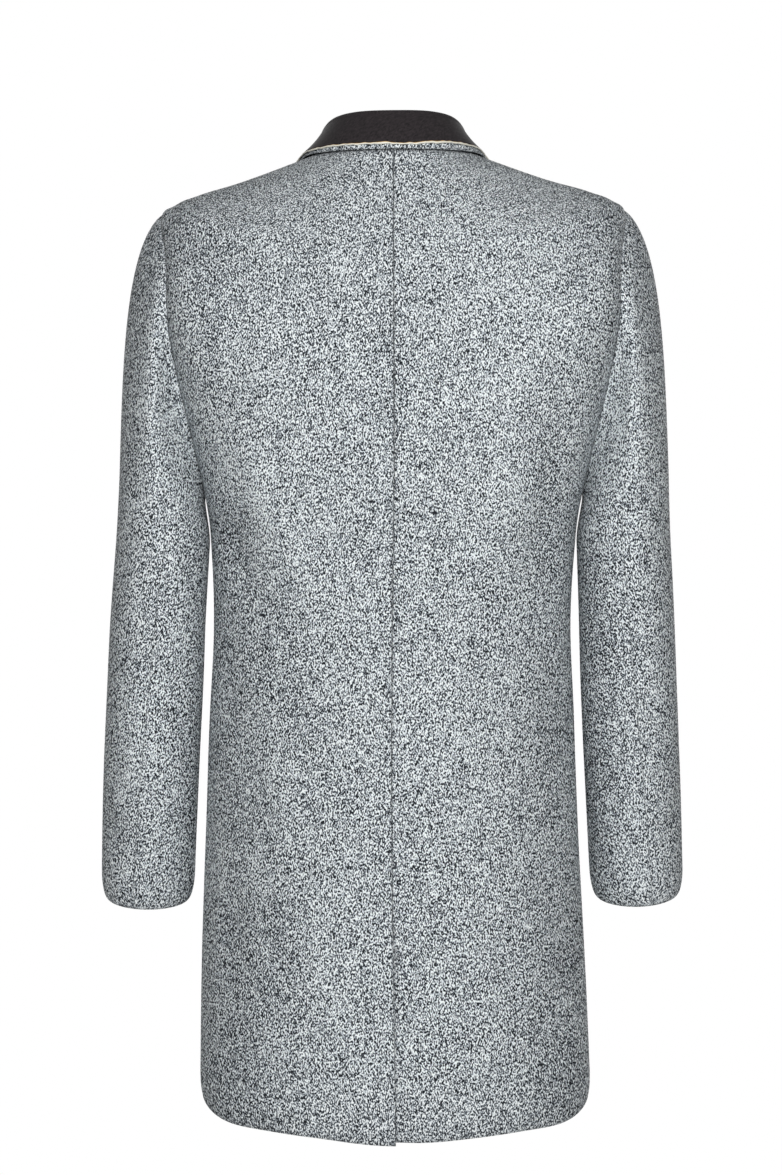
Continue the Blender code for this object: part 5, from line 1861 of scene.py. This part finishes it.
@dataclass
class Buttons:
    """Three dished horn buttons with four holes, their threads, and the left front's stitched buttonholes."""

    form: CoatForm
    heights: tuple[float, ...] = (-0.305, -0.425, -0.545)
    radius: float = 0.014
    thickness: float = 0.0042
    rim: float = 0.0035
    dish: float = 0.0012
    hole_place: float = 0.0022
    hole_radius: float = 0.00105
    hole_depth: float = 0.0026
    hole_soft: float = 0.0005
    # Radii of the dish's rings: the last inner one, those at the holes (from, to, step), the first outer one
    inner_ring: float = 0.0010
    hole_rings: Triple = (0.0012, 0.0052, 0.0002)
    outer_ring: float = 0.0055
    around: int = 112
    strand: float = 0.00026
    # Distance between strands and their height over the dish, in radii of a strand
    strand_spacing: float = 1.9
    strand_height: float = 1.1
    strand_steps: int = 25
    thread_depth: float = 0.0016
    buttonhole: Pair = (-0.004, 0.026)
    buttonhole_half: float = 0.0011
    stitch: float = 0.0008
    stitch_rise: float = 0.00042
    stitch_breadth: float = 0.00085

    def build(self, horn: Material, dark: Material, grey: Material) -> None:
        """Args:
            horn: the buttons' horn.
            dark: the thread that holds them.
            grey: the thread of the buttonholes.
        """
        form = self.form
        for number, height in enumerate(self.heights, 1):
            angle, station = form.front_place(np.zeros(1), np.full(1, height))
            lift = form.front_lift(Side.LEFT, angle, station) + form.lap_gap
            places, normals = form.on_body(Side.LEFT, angle, station, lift)
            place, out = form.settled(places)[0], normals[0]
            right = unit(np.cross(UP, out))
            axes = np.stack([right, np.cross(out, right), out])

            points, faces = self.horn_disc()
            piece = new_piece(f"button_{number}_turned", (place + points @ axes, faces), horn)
            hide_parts(f"button_{number}")

            points, faces = self.thread_bars()
            new_piece(f"button_{number}_thread", (place + points @ axes, faces), dark)

            points, faces = self.stitched_edge(height)
            new_piece(f"buttonhole_{number}_stitches", (form.settled(points), faces), grey)

    def horn_disc(self) -> Shape:
        """A turned button about Z: a flat dish, a rounded rim through five points, and a flat underside.

        Each hole sinks the dish by depth * smooth step of (hole radius - distance) / softness.

        Returns:
            Points and faces.
        """
        top, flat = self.thickness, self.thickness - self.dish
        outer, rim = self.radius, self.rim
        inside = outer - 2.4 * rim
        near, far = np.linspace(0, self.inner_ring, 3), np.linspace(self.outer_ring, inside, 3)
        dish = np.concatenate([near, np.arange(*self.hole_rings), far])
        corners = np.array(
            (
                (inside, flat),
                (outer - 2 * rim, flat),
                (outer - rim, top),
                (outer - rim / 4, top - self.dish / 2),
                (outer, top / 2),
                (outer - rim / 2, 0.0),
            )
        )
        bulge = spline(corners, np.linspace(0, 5, 41)[1:])
        under = np.array(((outer * 0.6, 0.0), (outer * 0.2, 0.0), (0.0, 0.0)))
        profile = np.concatenate([np.stack([dish, np.full_like(dish, flat)], axis=-1), bulge, under])
        points, faces = turned(profile, self.around)
        spread = np.array(((1, 1), (1, -1), (-1, 1), (-1, -1))) * self.hole_place
        apart = np.linalg.norm(points[:, None, :2] - spread, axis=-1).min(axis=1)
        sunk = self.hole_depth * smooth_step((self.hole_radius + self.hole_soft / 2 - apart) / self.hole_soft)
        points[:, 2] -= np.where(points[:, 2] > flat - 1e-6, sunk, 0)
        return points, faces

    def thread_bars(self) -> Shape:
        """Two bars of three strands, each from hole to hole along -x * cos(t), as high as sin(t)^0.35."""
        t = np.linspace(0, HALF, self.strand_steps)
        depth = self.thread_depth
        rise = depth + self.strand_height * self.strand
        height = self.thickness - self.dish - depth + rise * np.sin(t) ** 0.35
        side = np.tile((0.0, 1.0, 0.0), (len(t), 1))
        size = np.full((len(t), 1), self.strand)
        shapes = []
        for row in (-1, 1):
            for strand in (-1, 0, 1):
                y = row * self.hole_place + strand * self.strand_spacing * self.strand
                path = np.stack([-self.hole_place * np.cos(t), np.full_like(t, y), height], axis=-1)
                shapes.append(swept(path, side, size, size, 8))
        return joined(shapes)

    def stitched_edge(self, height: float) -> Shape:
        """Overcast edge of a buttonhole: a flat tube along a loop with round ends, ridged at each stitch.

        Its half size is 0.78 + 0.22 * |sin(pi * run / stitch)| of the full one.

        Args:
            height: height of the buttonhole's middle.

        Returns:
            Points and faces.
        """
        form, half = self.form, self.buttonhole_half
        first, last = self.buttonhole
        straight, bend = last - first, HALF * half
        total = 2 * (straight + bend)
        stitches = round(total / self.stitch)
        run = np.arange(6 * stitches) * total / (6 * stitches)
        lower = run < straight + bend
        way = np.where(lower, run, run - straight - bend)
        turn = np.clip((way - straight) / half, 0, HALF)
        x = np.minimum(way, straight) + half * np.sin(turn)
        z = -half * np.cos(turn)
        x = np.where(lower, first + x, last - x)
        z = height + np.where(lower, z, -z)
        angle, station = form.front_place(x, z)
        points, normals = form.on_body(Side.LEFT, angle, station, form.front_lift(Side.LEFT, angle, station))
        ridge = (0.78 + 0.22 * np.abs(np.sin(HALF * run * stitches / total)))[:, None]
        return swept(points, normals, self.stitch_rise * ridge, self.stitch_breadth * ridge, 10, ring=True)


@dataclass
class Studio:
    """Pale floor far below the hem, soft lights and a camera behind the coat."""

    camera_place: Triple = (0.0019, 2.4, -0.406)
    focal_pixels: float = 2526.3
    frame_height: float = 1175.0
    sensor: float = 36.0
    floor_colour: Triple = (0.86, 0.86, 0.85)
    floor_height: float = -1.45
    floor_half: float = 1.6
    ambient: float = 0.04
    aim: Triple = (0.0, 0.0, -0.42)
    # Place, size and power of the key light, and of the fill light on the left, which the right one mirrors
    key_place: Triple = (-0.12, 2.9, 0.40)
    key_size: float = 1.0
    key_watts: float = 74.0
    fill_place: Triple = (1.8, -3.0, 0.6)
    fill_size: float = 1.2
    fill_watts: float = 45.0

    def build(self) -> None:
        """Makes the floor, the lights, the white surroundings and the camera."""
        scene = bpy.context.scene
        scene.view_settings.view_transform = "Standard"
        half = self.floor_half
        corners = np.array(((-half, -half), (half, -half), (half, half), (-half, half)))
        points = np.concatenate([corners, np.full((4, 1), self.floor_height)], axis=1)
        mesh = bpy.data.meshes.new("floor")
        mesh.from_pydata(points.tolist(), [], [(0, 1, 2, 3)])
        material, _, shader = new_material("pale_floor", 0.9)
        shader.inputs["Base Color"].default_value = (*self.floor_colour, 1)
        mesh.materials.append(material)
        floor = bpy.data.objects.new("floor", mesh)
        scene.collection.objects.link(floor)

        world = bpy.data.worlds.new("white_studio")
        world.use_nodes = True
        board = NodeBoard(world.node_tree)
        nodes = world.node_tree.nodes
        ambient = nodes["Background"]
        ambient.inputs["Color"].default_value = (1, 1, 1, 1)
        ambient.inputs["Strength"].default_value = self.ambient
        seen = board.add("Background", {"Color": (1, 1, 1, 1), "Strength": 1.0})
        to_camera = board.add("LightPath").outputs["Is Camera Ray"]
        mixed = board.add("MixShader", {0: to_camera, 1: ambient.outputs[0], 2: seen.outputs[0]})
        board.tree.links.new(mixed.outputs[0], nodes["World Output"].inputs[0])
        scene.world = world

        self.light("key", self.key_place, self.key_size, self.key_watts)
        for side in Side:
            place = self.fill_place * side.mirror
            self.light(f"fill_{side.word}", place, self.fill_size, self.fill_watts)

        camera = bpy.data.cameras.new("camera")
        camera.sensor_width = self.sensor
        camera.lens = self.sensor * self.focal_pixels / self.frame_height
        holder = bpy.data.objects.new("camera", camera)
        holder.location = self.camera_place
        holder.rotation_euler = (QUARTER, 0.0, HALF)
        scene.collection.objects.link(holder)
        scene.camera = holder

    def light(self, name: str, place: Triple | Array, size: float, watts: float) -> None:
        """Square soft light that looks at the middle of the coat.

        Args:
            name: its name.
            place: where it stands.
            size: side of its square.
            watts: its power.
        """
        data = bpy.data.lights.new(name, "AREA")
        data.size = size
        data.energy = watts
        lamp = bpy.data.objects.new(name, data)
        lamp.location = place
        aim = np.array(self.aim) - np.array(place)
        flat = math.hypot(aim[0], aim[1])
        lamp.rotation_euler = (math.atan2(flat, -aim[2]), 0.0, math.atan2(-aim[0], aim[1]))
        bpy.context.scene.collection.objects.link(lamp)


def main() -> None:
    """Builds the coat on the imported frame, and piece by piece."""
    logging.basicConfig(level=logging.INFO, format="%(message)s")
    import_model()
    cloth = BoucleCloth().material()
    felt = DarkFelt().material()
    cord = CreamCord().material()
    form = CoatForm()
    Studio().build()
    collar = Collar(form)
    Backs(form, collar.edge_line()).build(cloth)
    Fronts(form).build(cloth)
    Sleeves(form).build(cloth)
    collar.build(cloth, felt, cord)
    dark_thread = SewingThread("button_thread", (0.030, 0.028, 0.028))
    grey_thread = SewingThread("buttonhole_thread", (0.16, 0.17, 0.18))
    Buttons(form).build(Horn().material(), dark_thread.material(), grey_thread.material())


if __name__ == "__main__":
    main()
